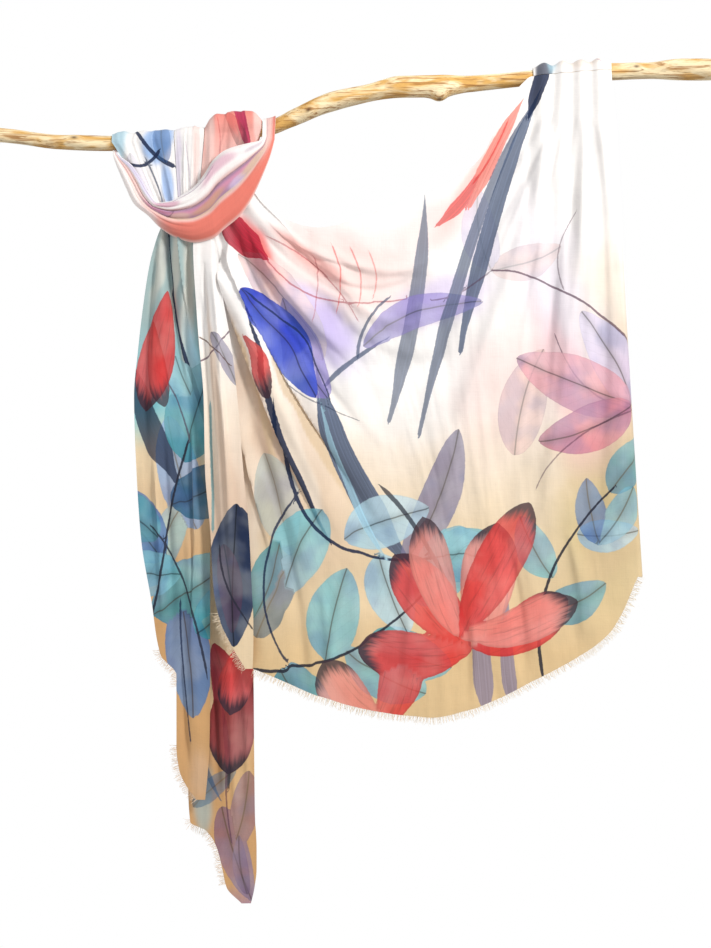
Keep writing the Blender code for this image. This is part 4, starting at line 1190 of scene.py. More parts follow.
def leaf_paint():
    """A leaf: a smooth wash with a crisp edge, a dark midrib that fades into it, and fainter side veins."""
    tree, enter, place = new_paint("leaf_paint")
    edge, mask = wavering_edge(tree, enter, place)
    rim = node(tree, "ShaderNodeMapRange", {0: edge, 1: 0.0, 2: 2.2, 3: 0.12, 4: 0.0}, **SMOOTH)
    off_rib = node(tree, "ShaderNodeMath", {0: place[1]}, operation="ABSOLUTE")
    rib = node(tree, "ShaderNodeMapRange", {0: off_rib, 1: 0.5, 2: 1.5, 3: 0.52, 4: 0.0}, **SMOOTH)
    beside = node(tree, "ShaderNodeMapRange", {0: off_rib, 1: 0.0, 2: 11.0, 3: 0.20, 4: 0.0}, **SMOOTH)
    slant = node(tree, "ShaderNodeMath", {0: off_rib, 1: -1.15, 2: place[0]}, operation="MULTIPLY_ADD")
    phase = node(tree, "ShaderNodeMath", {0: slant, 1: 1 / VEIN_GAP}, operation="MULTIPLY")
    phase = node(tree, "ShaderNodeMath", {0: enter["Waver"], 1: 0.35, 2: phase}, operation="MULTIPLY_ADD")
    phase = node(tree, "ShaderNodeMath", {0: phase, 1: 1.0}, operation="PINGPONG")
    vein = node(tree, "ShaderNodeMapRange", {0: phase, 1: 0.0, 2: 0.16, 3: 0.07, 4: 0.0}, **SMOOTH)
    lines = node(tree, "ShaderNodeMath", {0: rib, 1: vein}, operation="MAXIMUM")
    lines = node(tree, "ShaderNodeMath", {0: lines, 1: rim}, operation="MAXIMUM")
    lines = node(tree, "ShaderNodeMath", {0: lines, 1: beside}, operation="ADD")
    # The wash is a little paler where the cloth was wet, and turns bluer in places.
    wet = node(tree, "ShaderNodeMapRange", {0: enter["Wash"], 1: 0.40, 2: 0.66, 4: 0.14}, **SMOOTH)
    pale = node(tree, "ShaderNodeMix", {0: wet, 6: enter["Ink"], 7: WET_LEAF}, 2, **RGBA)
    blue = node(tree, "ShaderNodeMapRange", {0: enter["Hue"], 1: 0.44, 2: 0.66, 4: 0.34}, **SMOOTH)
    dyed = node(tree, "ShaderNodeMix", {0: blue, 6: pale, 7: (*linear("#4c6fb4"), 1)}, 2, **RGBA)
    tone = node(tree, "ShaderNodeMath", {0: 1.0, 1: lines}, operation="SUBTRACT")
    inked = node(tree, "ShaderNodeVectorMath", {0: dyed, "Scale": tone}, operation="SCALE")
    laid_over(tree, enter, inked, mask)


def petal_paint():
    """A petal: long fine streaks, a crisp edge and a charcoal tip that bleeds inwards."""
    tree, enter, place = new_paint("petal_paint")
    edge, mask = wavering_edge(tree, enter, place)
    rim = node(tree, "ShaderNodeMapRange", {0: edge, 1: 0.0, 2: 5.0, 3: 0.20, 4: 0.0}, **SMOOTH)
    stretched = node(tree, "ShaderNodeVectorMath", {0: enter["Place"], 1: STREAK}, operation="MULTIPLY")
    streak = node(tree, "ShaderNodeTexNoise", {"Vector": stretched, "Scale": 1.0, "Detail": 2.5})
    lines = node(tree, "ShaderNodeMapRange", {0: streak, 1: 0.50, 2: 0.74, 4: 0.26}, **SMOOTH)
    lines = node(tree, "ShaderNodeMath", {0: lines, 1: rim}, operation="MAXIMUM")
    wet = node(tree, "ShaderNodeMapRange", {0: enter["Wash"], 1: 0.42, 2: 0.68, 4: 0.14}, **SMOOTH)
    pale = node(tree, "ShaderNodeMix", {0: wet, 6: enter["Ink"], 7: WET_PETAL}, 2, **RGBA)
    tone = node(tree, "ShaderNodeMath", {0: 1.0, 1: lines}, operation="SUBTRACT")
    inked = node(tree, "ShaderNodeVectorMath", {0: pale, "Scale": tone}, operation="SCALE")
    # The charcoal reaches furthest in along the petal's edge and in single streaks.
    from_tip = node(tree, "ShaderNodeMath", {0: streak, 1: 50.0, 2: place[0]}, operation="MULTIPLY_ADD")
    inner = node(tree, "ShaderNodeMath", {0: edge, 1: 30.0}, operation="MINIMUM")
    from_tip = node(tree, "ShaderNodeMath", {0: inner, 1: 0.9, 2: from_tip}, operation="MULTIPLY_ADD")
    tip = node(tree, "ShaderNodeMapRange", {0: from_tip, 1: 44.0, 2: 76.0, 3: 0.92, 4: 0.0}, **SMOOTH)
    tipped = node(tree, "ShaderNodeMix", {0: tip, 6: inked, 7: (*linear(INKS["charcoal"]), 1)}, 2, **RGBA)
    laid_over(tree, enter, tipped, mask)


def stem_paint():
    """A stem or blade: one firm stroke, with the grain of a dry brush along it."""
    tree, enter, place = new_paint("stem_paint")
    off_line = node(tree, "ShaderNodeMath", {0: place[0]}, operation="ABSOLUTE")
    within = node(tree, "ShaderNodeMath", {0: place[1], 1: off_line}, operation="SUBTRACT")
    edge = node(tree, "ShaderNodeMath", {0: enter["Waver"], 1: 1.7, 2: within}, operation="MULTIPLY_ADD")
    mask = node(tree, "ShaderNodeMapRange", {0: edge, 1: -0.5, 2: 0.5}, **SMOOTH)
    near = node(tree, "ShaderNodeMapRange", {0: place[2], 1: -3.4, 2: -2.4}, **SMOOTH)
    mask = node(tree, "ShaderNodeMath", {0: mask, 1: near}, operation="MULTIPLY")
    stretched = node(tree, "ShaderNodeVectorMath", {0: enter["Place"], 1: BRISTLE}, operation="MULTIPLY")
    streak = node(tree, "ShaderNodeTexNoise", {"Vector": stretched, "Scale": 1.0, "Detail": 2.0})
    tone = node(tree, "ShaderNodeMapRange", {0: streak, 1: 0.3, 2: 0.7, 3: 0.72, 4: 1.32})
    inked = node(tree, "ShaderNodeVectorMath", {0: enter["Ink"], "Scale": tone}, operation="SCALE")
    laid_over(tree, enter, inked, mask)


LAYERS = [
    # layer of the print, the group that paints it, from the lowest to the highest
    ("veil", "leaf_paint"),
    ("blade", "stem_paint"),
    ("leaf_low", "leaf_paint"),
    ("leaf_high", "leaf_paint"),
    ("stem", "stem_paint"),
    ("petal_low", "petal_paint"),
    ("petal_high", "petal_paint"),
]


# Lengths of the patterns on the cloth and the wood, in metres.
CLOUD = 0.055          # dye gathers in clouds
BLEED = 0.0055         # and wanders at the edge of a motif
THREAD_GAP = 0.0013    # the real threads lie 0.3 mm apart, which is too fine for the picture to show
SLUB = 0.030
CRUMPLE = 0.016
YARN_SPIN = 0.004
GRAIN = (0.075, 0.0036)            # along and across the branch
STAIN = (0.060, 0.016)
FIBRE = (0.022, 0.0013)
SHEER = 0.22           # share of the light that the thin cloth scatters through


def new_material(name):
    material = bpy.data.materials.new(name)
    material.use_nodes = True
    material.node_tree.nodes.clear()
    return material, material.node_tree


def printed_cotton(name, used):
    """Plain-weave cotton voile, dyed by a soft print, with painted shade and a painted highlight along some
    folds in its colours: matt, a little sheer, with faint slubs both ways.
    """
    material, tree = new_material(name)
    flat = node(tree, "ShaderNodeUVMap", uv_map="flat")
    wash = node(tree, "ShaderNodeTexNoise", {"Vector": flat, "Scale": 1 / CLOUD, "Detail": 2.5,
                                             "Roughness": 0.5})
    hue = node(tree, "ShaderNodeSeparateColor", {0: wash.node.outputs["Color"]}, 1)
    bleed = node(tree, "ShaderNodeTexNoise", {"Vector": flat, "Scale": 1 / BLEED, "Detail": 3.0})
    waver = node(tree, "ShaderNodeMath", {0: bleed, 1: 0.5}, operation="SUBTRACT")
    ground = node(tree, "ShaderNodeAttribute", attribute_name="ground")
    clouds = node(tree, "ShaderNodeMapRange", {0: wash, 1: 0.3, 2: 0.7, 3: 0.94, 4: 1.02})
    colour = node(tree, "ShaderNodeVectorMath", {0: ground, "Scale": clouds}, operation="SCALE")
    for layer, group in LAYERS:
        if layer not in used:
            continue
        ink = node(tree, "ShaderNodeAttribute", attribute_name=layer + "_ink").node
        place = node(tree, "ShaderNodeAttribute", attribute_name=layer + "_place").node
        painted = tree.nodes.new("ShaderNodeGroup")
        painted.node_tree = bpy.data.node_groups[group]
        for label, socket in (("Under", colour), ("Ink", ink.outputs["Color"]),
                              ("Strength", ink.outputs["Alpha"]), ("Place", place.outputs["Vector"]),
                              ("Waver", waver), ("Wash", wash), ("Hue", hue)):
            tree.links.new(socket, painted.inputs[label])
        colour = painted.outputs[0]
    warp = node(tree, "ShaderNodeMapping", {"Vector": flat, "Scale": (1 / THREAD_GAP, 1 / SLUB, 1)})
    weft = node(tree, "ShaderNodeMapping", {"Vector": flat, "Scale": (1 / SLUB, 1 / THREAD_GAP, 1)})
    warp = node(tree, "ShaderNodeTexNoise", {"Vector": warp, "Scale": 1.0, "Detail": 1.0})
    weft = node(tree, "ShaderNodeTexNoise", {"Vector": weft, "Scale": 1.0, "Detail": 1.0})
    threads = node(tree, "ShaderNodeMath", {0: warp, 1: weft}, operation="ADD")
    slubs = node(tree, "ShaderNodeMapRange", {0: threads, 1: 0.7, 2: 1.3, 3: 0.975, 4: 1.02})
    colour = node(tree, "ShaderNodeVectorMath", {0: colour, "Scale": slubs}, operation="SCALE")
    crumple = node(tree, "ShaderNodeTexNoise", {"Vector": flat, "Scale": 1 / CRUMPLE, "Detail": 2.0})
    height = node(tree, "ShaderNodeMath", {0: crumple, 1: 5.0, 2: threads}, operation="MULTIPLY_ADD")
    bump = node(tree, "ShaderNodeBump", {"Strength": 0.4, "Distance": 0.0003, "Height": height})
    cloth = node(tree, "ShaderNodeBsdfPrincipled", {
        "Base Color": colour, "Roughness": 0.88, "Specular IOR Level": 0.2, "Sheen Weight": 0.18,
        "Sheen Roughness": 0.5, "Normal": bump})
    sheer = node(tree, "ShaderNodeBsdfTranslucent", {"Color": colour, "Normal": bump})
    both = node(tree, "ShaderNodeMixShader", {0: SHEER, 1: cloth, 2: sheer})
    node(tree, "ShaderNodeOutputMaterial", {"Surface": both})
    return material


def cotton_yarn():
    """Loose cotton ends at the cloth's edge: the cloth's own dye, paler in places, and matt."""
    material, tree = new_material("frayed_cotton_yarn")
    place = node(tree, "ShaderNodeTexCoord", out=3)
    spun = node(tree, "ShaderNodeTexNoise", {"Vector": place, "Scale": 1 / YARN_SPIN, "Detail": 2.0})
    dyed = node(tree, "ShaderNodeAttribute", attribute_name="dye")
    pale = node(tree, "ShaderNodeMapRange", {0: spun, 1: 0.3, 2: 0.7, 3: 0.15, 4: 0.6})
    colour = node(tree, "ShaderNodeMix", {0: pale, 6: dyed, 7: (*linear("#f6ead9"), 1)}, 2, **RGBA)
    yarn = node(tree, "ShaderNodeBsdfPrincipled", {
        "Base Color": colour, "Roughness": 0.9, "Specular IOR Level": 0.2, "Sheen Weight": 0.2})
    node(tree, "ShaderNodeOutputMaterial", {"Surface": yarn})
    return material


def driftwood():
    """Peeled, weathered branch wood: pale cream, tan grain along it, browner in patches, at its knots and
    towards one end, and darker underneath as painted shade.
    """
    material, tree = new_material("peeled_driftwood")
    place = node(tree, "ShaderNodeTexCoord", out=3)
    patterns = []
    for (along, across), detail, waves in ((GRAIN, 3.0, 0.6), (STAIN, 4.0, 0.8), (FIBRE, 2.0, 0.0)):
        scale = (1 / along, 1 / across, 1 / across)
        drawn = node(tree, "ShaderNodeMapping", {"Vector": place, "Scale": scale})
        patterns.append(node(tree, "ShaderNodeTexNoise", {"Vector": drawn, "Scale": 1.0, "Detail": detail,
                                                          "Distortion": waves}))
    grain, stain, fibre = patterns
    colour = (*linear("#f8e4ba"), 1)
    for pattern, low, high, most, darker in ((stain, 0.38, 0.62, 1.0, "#d9a95e"),
                                             (grain, 0.52, 0.66, 0.85, "#a8743c"),
                                             (fibre, 0.56, 0.70, 0.55, "#7d5530")):
        share = node(tree, "ShaderNodeMapRange", {0: pattern, 1: low, 2: high, 4: most}, **SMOOTH)
        colour = node(tree, "ShaderNodeMix", {0: share, 6: colour, 7: (*linear(darker), 1)}, 2, **RGBA)
    # The knot attribute also carries painted shade on the branch's underside.
    knot = node(tree, "ShaderNodeAttribute", attribute_name="knot", out=2)
    colour = node(tree, "ShaderNodeMix", {0: knot, 6: colour, 7: (*linear("#4a2f1c"), 1)}, 2, **RGBA)
    height = node(tree, "ShaderNodeMath", {0: fibre, 1: 0.5, 2: grain}, operation="MULTIPLY_ADD")
    bump = node(tree, "ShaderNodeBump", {"Strength": 0.6, "Distance": 0.001, "Height": height})
    rough = node(tree, "ShaderNodeMapRange", {0: stain, 1: 0.3, 2: 0.7, 3: 0.55, 4: 0.75}, **SMOOTH)
    wood = node(tree, "ShaderNodeBsdfPrincipled", {
        "Base Color": colour, "Roughness": rough, "Specular IOR Level": 0.35, "Normal": bump})
    node(tree, "ShaderNodeOutputMaterial", {"Surface": wood})
    return material


def studio_paint():
    """Matt white emulsion on the studio floor, with no pattern, so that the eye stays on the scarf."""
    material, tree = new_material("matt_studio_floor")
    paint = node(tree, "ShaderNodeBsdfPrincipled", {"Base Color": (*linear("#f2f0ee"), 1), "Roughness": 0.9})
    node(tree, "ShaderNodeOutputMaterial", {"Surface": paint})
    return material


leaf_paint()
petal_paint()
stem_paint()
YARN = cotton_yarn()


# ---------------------------------------------------------------- pieces


CLOTH_CREASE = math.radians(60)    # an edge that turns by more than this is shaded as a sharp one
WOOD_CREASE = math.radians(50)


def add_object(name, data):
    obj = bpy.data.objects.new(name, data)
    bpy.context.scene.collection.objects.link(obj)
    return obj


def dress(obj, node_name):
    """The piece belongs to the one body, and takes the place of its solid."""
    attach(obj, "root")
    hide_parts(node_name)
    return obj


def store(mesh, name, kind, values):
    """An attribute on the mesh's points."""
    attribute = mesh.attributes.new(name, kind, "POINT")
    field = {"FLOAT": "value", "FLOAT_VECTOR": "vector", "FLOAT_COLOR": "color"}[kind]
    attribute.data.foreach_set(field, np.ascontiguousarray(values, dtype=np.float32).ravel())


def shell_mesh(name, grid):
    """Closed shell about the grid. The first half of its points lies on the side of the grid's normals."""
    rows, cols = grid.shape[:2]
    offset = sheet_normals(grid) * CLOTH / 2
    points = np.concatenate([(grid + offset).reshape(-1, 3), (grid - offset).reshape(-1, 3)]) * MM
    index = np.arange(rows * cols).reshape(rows, cols)
    a = index[:-1, :-1].ravel()
    quads = np.stack([a, a + 1, a + cols + 1, a + cols], axis=1)
    back = rows * cols
    rim = np.concatenate([index[0, :], index[1:, -1], index[-1, -2::-1], index[-2:0:-1, 0]])
    ahead = np.roll(rim, -1)
    side = np.stack([ahead, rim, rim + back, ahead + back], axis=1)
    faces = np.concatenate([quads, quads[:, ::-1] + back, side])
    mesh = bpy.data.meshes.new(name)
    mesh.vertices.add(len(points))
    mesh.vertices.foreach_set("co", points.astype(np.float32).ravel())
    mesh.loops.add(faces.size)
    mesh.loops.foreach_set("vertex_index", faces.astype(np.int32).ravel())
    mesh.polygons.add(len(faces))
    mesh.polygons.foreach_set("loop_start", np.arange(len(faces), dtype=np.int32) * 4)
    mesh.update(calc_edges=True)
    mesh.validate()
    mesh.shade_smooth()
    mesh.set_sharp_from_angle(angle=CLOTH_CREASE)
    return mesh


def add_cloth(node_name, grid, flat_x, flat_z, seed):
    """A printed stretch of cloth that stands for one cloth solid."""
    mesh = shell_mesh(node_name + "_cloth", grid)
    plan = PRINT_AND_PAINTED_SHADING[node_name]

    def both(field):
        return np.concatenate([field.reshape(flat_x.size, -1)] * 2)

    flat = both(np.stack([flat_x, flat_z], axis=-1)) * MM
    corners = np.zeros(len(mesh.loops), np.int32)
    mesh.loops.foreach_get("vertex_index", corners)
    layer = mesh.uv_layers.new(name="flat")
    layer.data.foreach_set("uv", flat[corners].astype(np.float32).ravel())
    ground = ground_field(flat_x, flat_z, plan["ramp"], plan["patches"], seed)
    ground = np.concatenate([ground, np.ones(flat_x.shape + (1,))], axis=-1)
    store(mesh, "ground", "FLOAT_COLOR", both(ground))
    used = []
    for name, group in LAYERS:
        if name not in plan:
            continue
        motifs = plan[name]
        used.append(name)
        if group == "stem_paint":
            place, ink = stem_field(flat_x, flat_z, motifs)
        elif group == "leaf_paint":
            place, ink = motif_field(flat_x, flat_z, motifs, leaf_outline, False)
        else:
            place, ink = motif_field(flat_x, flat_z, motifs, petal_outline, True)
        store(mesh, name + "_place", "FLOAT_VECTOR", both(place))
        store(mesh, name + "_ink", "FLOAT_COLOR", both(ink))
    mesh.materials.append(printed_cotton("printed_cotton_voile_" + node_name, used))
    return dress(add_object(node_name + "_cloth", mesh), node_name)


THREAD_SPACING = 0.8
THREAD_RADIUS = 0.28
THREAD_SPREAD = 0.34   # how far a thread leans, as a share of its length
THREAD_CURL = 9.0
THREAD_ROOT = 1.0      # how far inside the edge a thread starts
THREAD_STEPS = 6       # points along a thread
THREAD_SIDES = 3
SHORTEST_THREAD = 0.62 # as a share of the longest
THREAD_TIP = 0.45      # thickness of its tip, as a share of that of its root
HEM_THREADS = 12.5     # length of the longest
STRIP_THREADS = 11.5
GUST = 0.005           # the curl changes over so many metres, so that threads next to each other part


def fringe_tree():
    """Threads that stand out from an edge, each of its own length, lean and curl."""
    tree = bpy.data.node_groups.new("eyelash_fringe", "GeometryNodeTree")
    face = tree.interface
    face.new_socket("Edge", in_out="INPUT", socket_type="NodeSocketGeometry")
    for label in ("Spacing", "Length", "Thickness", "Spread", "Curl"):
        face.new_socket(label, in_out="INPUT", socket_type="NodeSocketFloat")
    face.new_socket("Seed", in_out="INPUT", socket_type="NodeSocketInt")
    face.new_socket("Yarn", in_out="INPUT", socket_type="NodeSocketMaterial")
    face.new_socket("Threads", in_out="OUTPUT", socket_type="NodeSocketGeometry")
    enter = tree.nodes.new("NodeGroupInput").outputs
    line = node(tree, "GeometryNodeMeshToCurve", {"Mesh": enter["Edge"]})
    roots = node(tree, "GeometryNodeResampleCurve", {"Curve": line, "Length": enter["Spacing"]},
                 mode="LENGTH")
    away = node(tree, "GeometryNodeInputNamedAttribute", {"Name": "away"}, data_type="FLOAT_VECTOR")
    low = node(tree, "ShaderNodeVectorMath", {0: (-1, -1, -1), "Scale": enter["Spread"]}, operation="SCALE")
    high = node(tree, "ShaderNodeVectorMath", {0: (1, 1, 1), "Scale": enter["Spread"]}, operation="SCALE")
    lean = node(tree, "FunctionNodeRandomValue", {0: low, 1: high, "Seed": enter["Seed"]},
                data_type="FLOAT_VECTOR")
    heading = node(tree, "ShaderNodeVectorMath", {0: away, 1: lean}, operation="ADD")
    turned = node(tree, "FunctionNodeAlignRotationToVector", {"Vector": heading}, axis="Z")
    share = node(tree, "FunctionNodeRandomValue", {2: SHORTEST_THREAD, 3: 1.0, "Seed": enter["Seed"]}, 1)
    reach = node(tree, "ShaderNodeMath", {0: share, 1: enter["Length"]}, operation="MULTIPLY")
    size = node(tree, "ShaderNodeCombineXYZ", {0: 1.0, 1: 1.0, 2: reach})
    straight = node(tree, "GeometryNodeCurvePrimitiveLine", {"Start": (0, 0, 0), "End": (0, 0, 1)})
    straight = node(tree, "GeometryNodeResampleCurve", {"Curve": straight, "Count": THREAD_STEPS})
    threads = node(tree, "GeometryNodeInstanceOnPoints", {"Points": roots, "Instance": straight,
                                                          "Rotation": turned, "Scale": size})
    threads = node(tree, "GeometryNodeRealizeInstances", {0: threads})
    place = node(tree, "GeometryNodeInputPosition")
    gust = node(tree, "ShaderNodeTexNoise", {"Vector": place, "Scale": 1 / GUST, "Detail": 1.0}, 1)
    gust = node(tree, "ShaderNodeVectorMath", {0: gust, 1: (0.5, 0.5, 0.5)}, operation="SUBTRACT")
    along = node(tree, "GeometryNodeSplineParameter")
    late = node(tree, "ShaderNodeMath", {0: along, 1: 1.6}, operation="POWER")
    amount = node(tree, "ShaderNodeMath", {0: late, 1: enter["Curl"]}, operation="MULTIPLY")
    sway = node(tree, "ShaderNodeVectorMath", {0: gust, "Scale": amount}, operation="SCALE")
    threads = node(tree, "GeometryNodeSetPosition", {"Geometry": threads, "Offset": sway})
    taper = node(tree, "ShaderNodeMapRange", {0: along, 1: 0.0, 2: 1.0, 3: 1.0, 4: THREAD_TIP})
    profile = node(tree, "GeometryNodeCurvePrimitiveCircle", {"Resolution": THREAD_SIDES,
                                                              "Radius": enter["Thickness"]})
    tubes = node(tree, "GeometryNodeCurveToMesh", {"Curve": threads, "Profile Curve": profile, "Scale": taper,
                                                   "Fill Caps": True})
    tubes = node(tree, "GeometryNodeRealizeInstances", {0: tubes})
    done = node(tree, "GeometryNodeSetMaterial", {"Geometry": tubes, "Material": enter["Yarn"]})
    node(tree, "NodeGroupOutput", {"Threads": done})
    return tree


FRINGE = fringe_tree()


def add_fringe(node_name, edge, inner, dye, length, seed):
    """The threads along one edge of cloth: edge and inner are points on it and a little inside it."""
    away = edge - inner
    along = np.gradient(edge, axis=0)
    along /= np.linalg.norm(along, axis=1, keepdims=True)
    away -= along * np.sum(away * along, axis=1, keepdims=True)
    away /= np.linalg.norm(away, axis=1, keepdims=True)
    mesh = bpy.data.meshes.new(node_name + "_edge")
    roots = (edge - away * THREAD_ROOT) * MM
    mesh.from_pydata(roots.tolist(), [(i, i + 1) for i in range(len(roots) - 1)], [])
    store(mesh, "away", "FLOAT_VECTOR", away)
    store(mesh, "dye", "FLOAT_COLOR", dye)
    source = add_object(node_name + "_edge", mesh)
    modifier = source.modifiers.new("fringe", "NODES")
    modifier.node_group = FRINGE
    wanted = {"Spacing": THREAD_SPACING * MM, "Length": length * MM, "Thickness": THREAD_RADIUS * MM,
              "Spread": THREAD_SPREAD, "Curl": THREAD_CURL * MM, "Seed": seed, "Yarn": YARN}
    for item in FRINGE.interface.items_tree:
        if item.in_out == "INPUT" and item.name in wanted:
            modifier[item.identifier] = wanted[item.name]
    graph = bpy.context.evaluated_depsgraph_get()
    made = bpy.data.meshes.new_from_object(source.evaluated_get(graph), depsgraph=graph)
    bpy.data.objects.remove(source)
    made.name = node_name + "_threads"
    return dress(add_object(node_name + "_threads", made), node_name)


def dye_along(node_name, flat_x, flat_z, seed):
    plan = PRINT_AND_PAINTED_SHADING[node_name]
    colour = ground_field(flat_x, flat_z, plan["ramp"], plan["patches"], seed)
    return np.concatenate([colour, np.ones((len(colour), 1))], axis=1)


INSIDE_COLUMN = 8      # a column of a strip's grid that is a little inside its left edge
INSIDE_ROW = -4        # and a row of a panel's grid that is a little above its hem


def left_edge(grid, flat, top, bottom):
    """The left edge of a strip between two heights, points inside it, and where the edge lies when flat."""
    rows = [r for r in range(len(grid)) if bottom <= grid[r, 0, 2] <= top]
    return grid[rows, 0], grid[rows, INSIDE_COLUMN], flat[0][rows, 0], flat[1][rows, 0]


# The branch, finer than its solid: rounded, with long hollows, small knots and a snapped twig stub.
BRANCH_RINGS = 520
BRANCH_SIDES = 60
KNOT_SPREAD = 0.55     # how far round the branch a knot reaches, in radians
EYE_LENGTH = 0.42      # the dark hollow in it, as a share of its length
EYE_SPREAD = 0.24
EYE_DEPTH = 0.28
BROWN_END = (240, 380) # x between which the right-hand end turns browner


def add_branch():
    x = np.linspace(BRANCH[0][0], BRANCH[-1][0], BRANCH_RINGS)[:, None]
    angle = (np.arange(BRANCH_SIDES) * 2 * math.pi / BRANCH_SIDES)[None, :]
    radius = branch_at(x, "diameter") / 2 * np.ones_like(angle)
    dark = np.zeros(radius.shape)
    for knot_x, degrees, length, height in BRANCH_KNOTS:
        turn = (angle - math.radians(degrees) + math.pi) % (2 * math.pi) - math.pi
        spot = (x - knot_x) ** 2 / length ** 2 + (turn / KNOT_SPREAD) ** 2
        radius = radius + height * np.exp(-spot)
        eye = (x - knot_x) ** 2 / (EYE_LENGTH * length) ** 2 + (turn / EYE_SPREAD) ** 2
        radius = radius - EYE_DEPTH * height * np.exp(-eye * 1.4)
        dark = np.maximum(dark, 0.9 * np.exp(-eye * 1.2))
    # Waves that close round the branch: the noise is read on a circle.
    ring_a = np.cos(angle) * 1.3
    ring_b = np.sin(angle) * 1.3
    hollow = ripple(x / 60 + ring_a, ring_b * 1.4 + x / 170, 51)
    lumps = ripple(x / 24 + ring_b, ring_a * 2.2 + 7, 52)
    grooves = ripple(x / 90 + 3 * ring_a, 4 * ring_b + 3, 53)
    radius = radius + 0.8 * hollow + 0.4 * lumps - 0.5 * np.abs(grooves)
    # Painted shade: the underside of the branch is darkened towards the knots' brown, as if shaded. Browner
    # patches are added where two of the ripples agree.
    painted_underside_shade = ease(0.1, 1.0, -np.cos(angle)) * (0.7 + 0.3 * lumps)
    dark = np.maximum(dark, 0.42 * painted_underside_shade + 0.30 * ease(0.2, 0.9, hollow * lumps))
    dark = np.maximum(dark, 0.32 * ease(*BROWN_END, x) * (0.6 + 0.4 * lumps))
    y = branch_at(x, "y") - radius * np.sin(angle)
    z = branch_at(x, "z") + radius * np.cos(angle)
    points = np.stack([np.broadcast_to(x, y.shape), y, z], axis=2).reshape(-1, 3) * MM
    faces = []
    for s in range(BRANCH_RINGS - 1):
        for k in range(BRANCH_SIDES):
            a = s * BRANCH_SIDES + k
            b = s * BRANCH_SIDES + (k + 1) % BRANCH_SIDES
            faces.append((a, b, b + BRANCH_SIDES, a + BRANCH_SIDES))
    last = (BRANCH_RINGS - 1) * BRANCH_SIDES
    faces.append(tuple(reversed(range(BRANCH_SIDES))))
    faces.append(tuple(last + k for k in range(BRANCH_SIDES)))
    mesh = bpy.data.meshes.new("driftwood_branch")
    mesh.from_pydata(points.tolist(), [], faces)
    work = bmesh.new()
    work.from_mesh(mesh)
    bmesh.ops.recalc_face_normals(work, faces=work.faces)
    work.to_mesh(mesh)
    work.free()
    # The knot attribute holds the knots' dark eyes, the browner patches and end, and the painted shade on the
    # underside.
    store(mesh, "knot", "FLOAT", dark.ravel())
    mesh.shade_smooth()
    mesh.set_sharp_from_angle(angle=WOOD_CREASE)
    mesh.materials.append(driftwood())
    dress(add_object("driftwood_branch", mesh), "branch")


GRIDS = {
    # node: rows, columns, seed of its washes
    "knot_band": (190, 60, 70),
    "front_panel": (190, 236, 71),
    "peak_wrap": (36, 96, 72),
    "rear_panel": (120, 110, 73),
    "edge_pleat": (250, 40, 80),
    "tail_left": (290, 52, 81),
    "tail_right": (290, 46, 82),
}
WRAP_ROWS = 110
GATHER_COLUMNS = 20    # columns of a wrap for each of its gathers, and the others
PLAIN_COLUMNS = 14
WRAP_SEED = 60         # of the first wrap; the others count on from it
FRINGE_SEED = 10       # what a strip's fringe adds to its seed
TOP_CLOSER = 1.1       # above 1, the front panel's rows lie closer together at its top
STRIPS = [
    # node, table, folds, laps, fringes: node, from z, to z
    ("edge_pleat", PLEAT, PLEAT_FOLDS + PLEAT_CREASES, [], [("pleat_fringe", -735, -812)]),
    ("tail_left", TAIL_LEFT, TAIL_LEFT_FOLDS + TAIL_LEFT_CREASES, TAIL_LEFT_LAPS,
     [("tail_left_corner_fringe", -785, -840), ("tail_left_fringe", -918, -1000)]),
    ("tail_right", TAIL_RIGHT, TAIL_RIGHT_FOLDS + TAIL_RIGHT_CREASES, [],
     [("tail_right_fringe", -1025, -1118)]),
]


def add_wraps():
    for i, (name, *sizes, folds, lift) in enumerate(WRAPS):
        grid = wrap_grid(*sizes, folds, lift, WRAP_ROWS, GATHER_COLUMNS * folds + PLAIN_COLUMNS)
        # The print runs up the front leg, so its way along the cloth is measured from the knot.
        flat_x, flat_z = flat_map(grid[::-1])
        flat_x, flat_z = flat_x[::-1], flat_z[::-1] - flat_z[-1:, :] + grid[:1, :, 2]
        wrap = add_cloth(name, grid, flat_x, flat_z, WRAP_SEED + i)


def add_knot_band():
    rows, cols, seed = GRIDS["knot_band"]
    grid = band_grid(rows, cols)
    length = np.linspace(0, BAND_LENGTH, len(grid))[:, None] * np.ones((1, cols))
    width = np.linspace(0, -BAND_WIDTH, cols)[None, :] * np.ones((len(grid), 1))
    band = add_cloth("knot_band", grid, length, width, seed)


def add_panel(node_name, grid, hem, fringe, fringe_seed):
    """A panel with threads along its hem, over the columns that the fold at its side leaves free."""
    seed = GRIDS[node_name][2]
    flat = flat_map(grid)
    cloth = add_cloth(node_name, grid, *flat, seed)
    dye = dye_along(node_name, flat[0][-1, hem], flat[1][-1, hem], seed)
    threads = add_fringe(fringe, grid[-1, hem], grid[INSIDE_ROW, hem], dye, HEM_THREADS, fringe_seed)


def add_front_panel():
    rows, cols, _ = GRIDS["front_panel"]
    v = np.linspace(0, 1, rows) ** TOP_CLOSER
    grid = side_fold(front_panel_grid(np.linspace(0, 1, cols), v), -1)
    add_panel("front_panel", grid, slice(0, -FOLD_COLUMNS), "hem_fringe", 1)


def add_peak_wrap():
    rows, cols, seed = GRIDS["peak_wrap"]
    grid = peak_wrap_grid(rows, cols)
    flat_x, flat_z = flat_map(grid[::-1])
    peak = add_cloth("peak_wrap", grid, flat_x[::-1], flat_z[::-1] - flat_z[-1:, :], seed)


def add_rear_panel():
    rows, cols, _ = GRIDS["rear_panel"]
    add_panel("rear_panel", rear_panel_grid(rows, cols), slice(FOLD_COLUMNS, None), "rear_hem_fringe", 2)


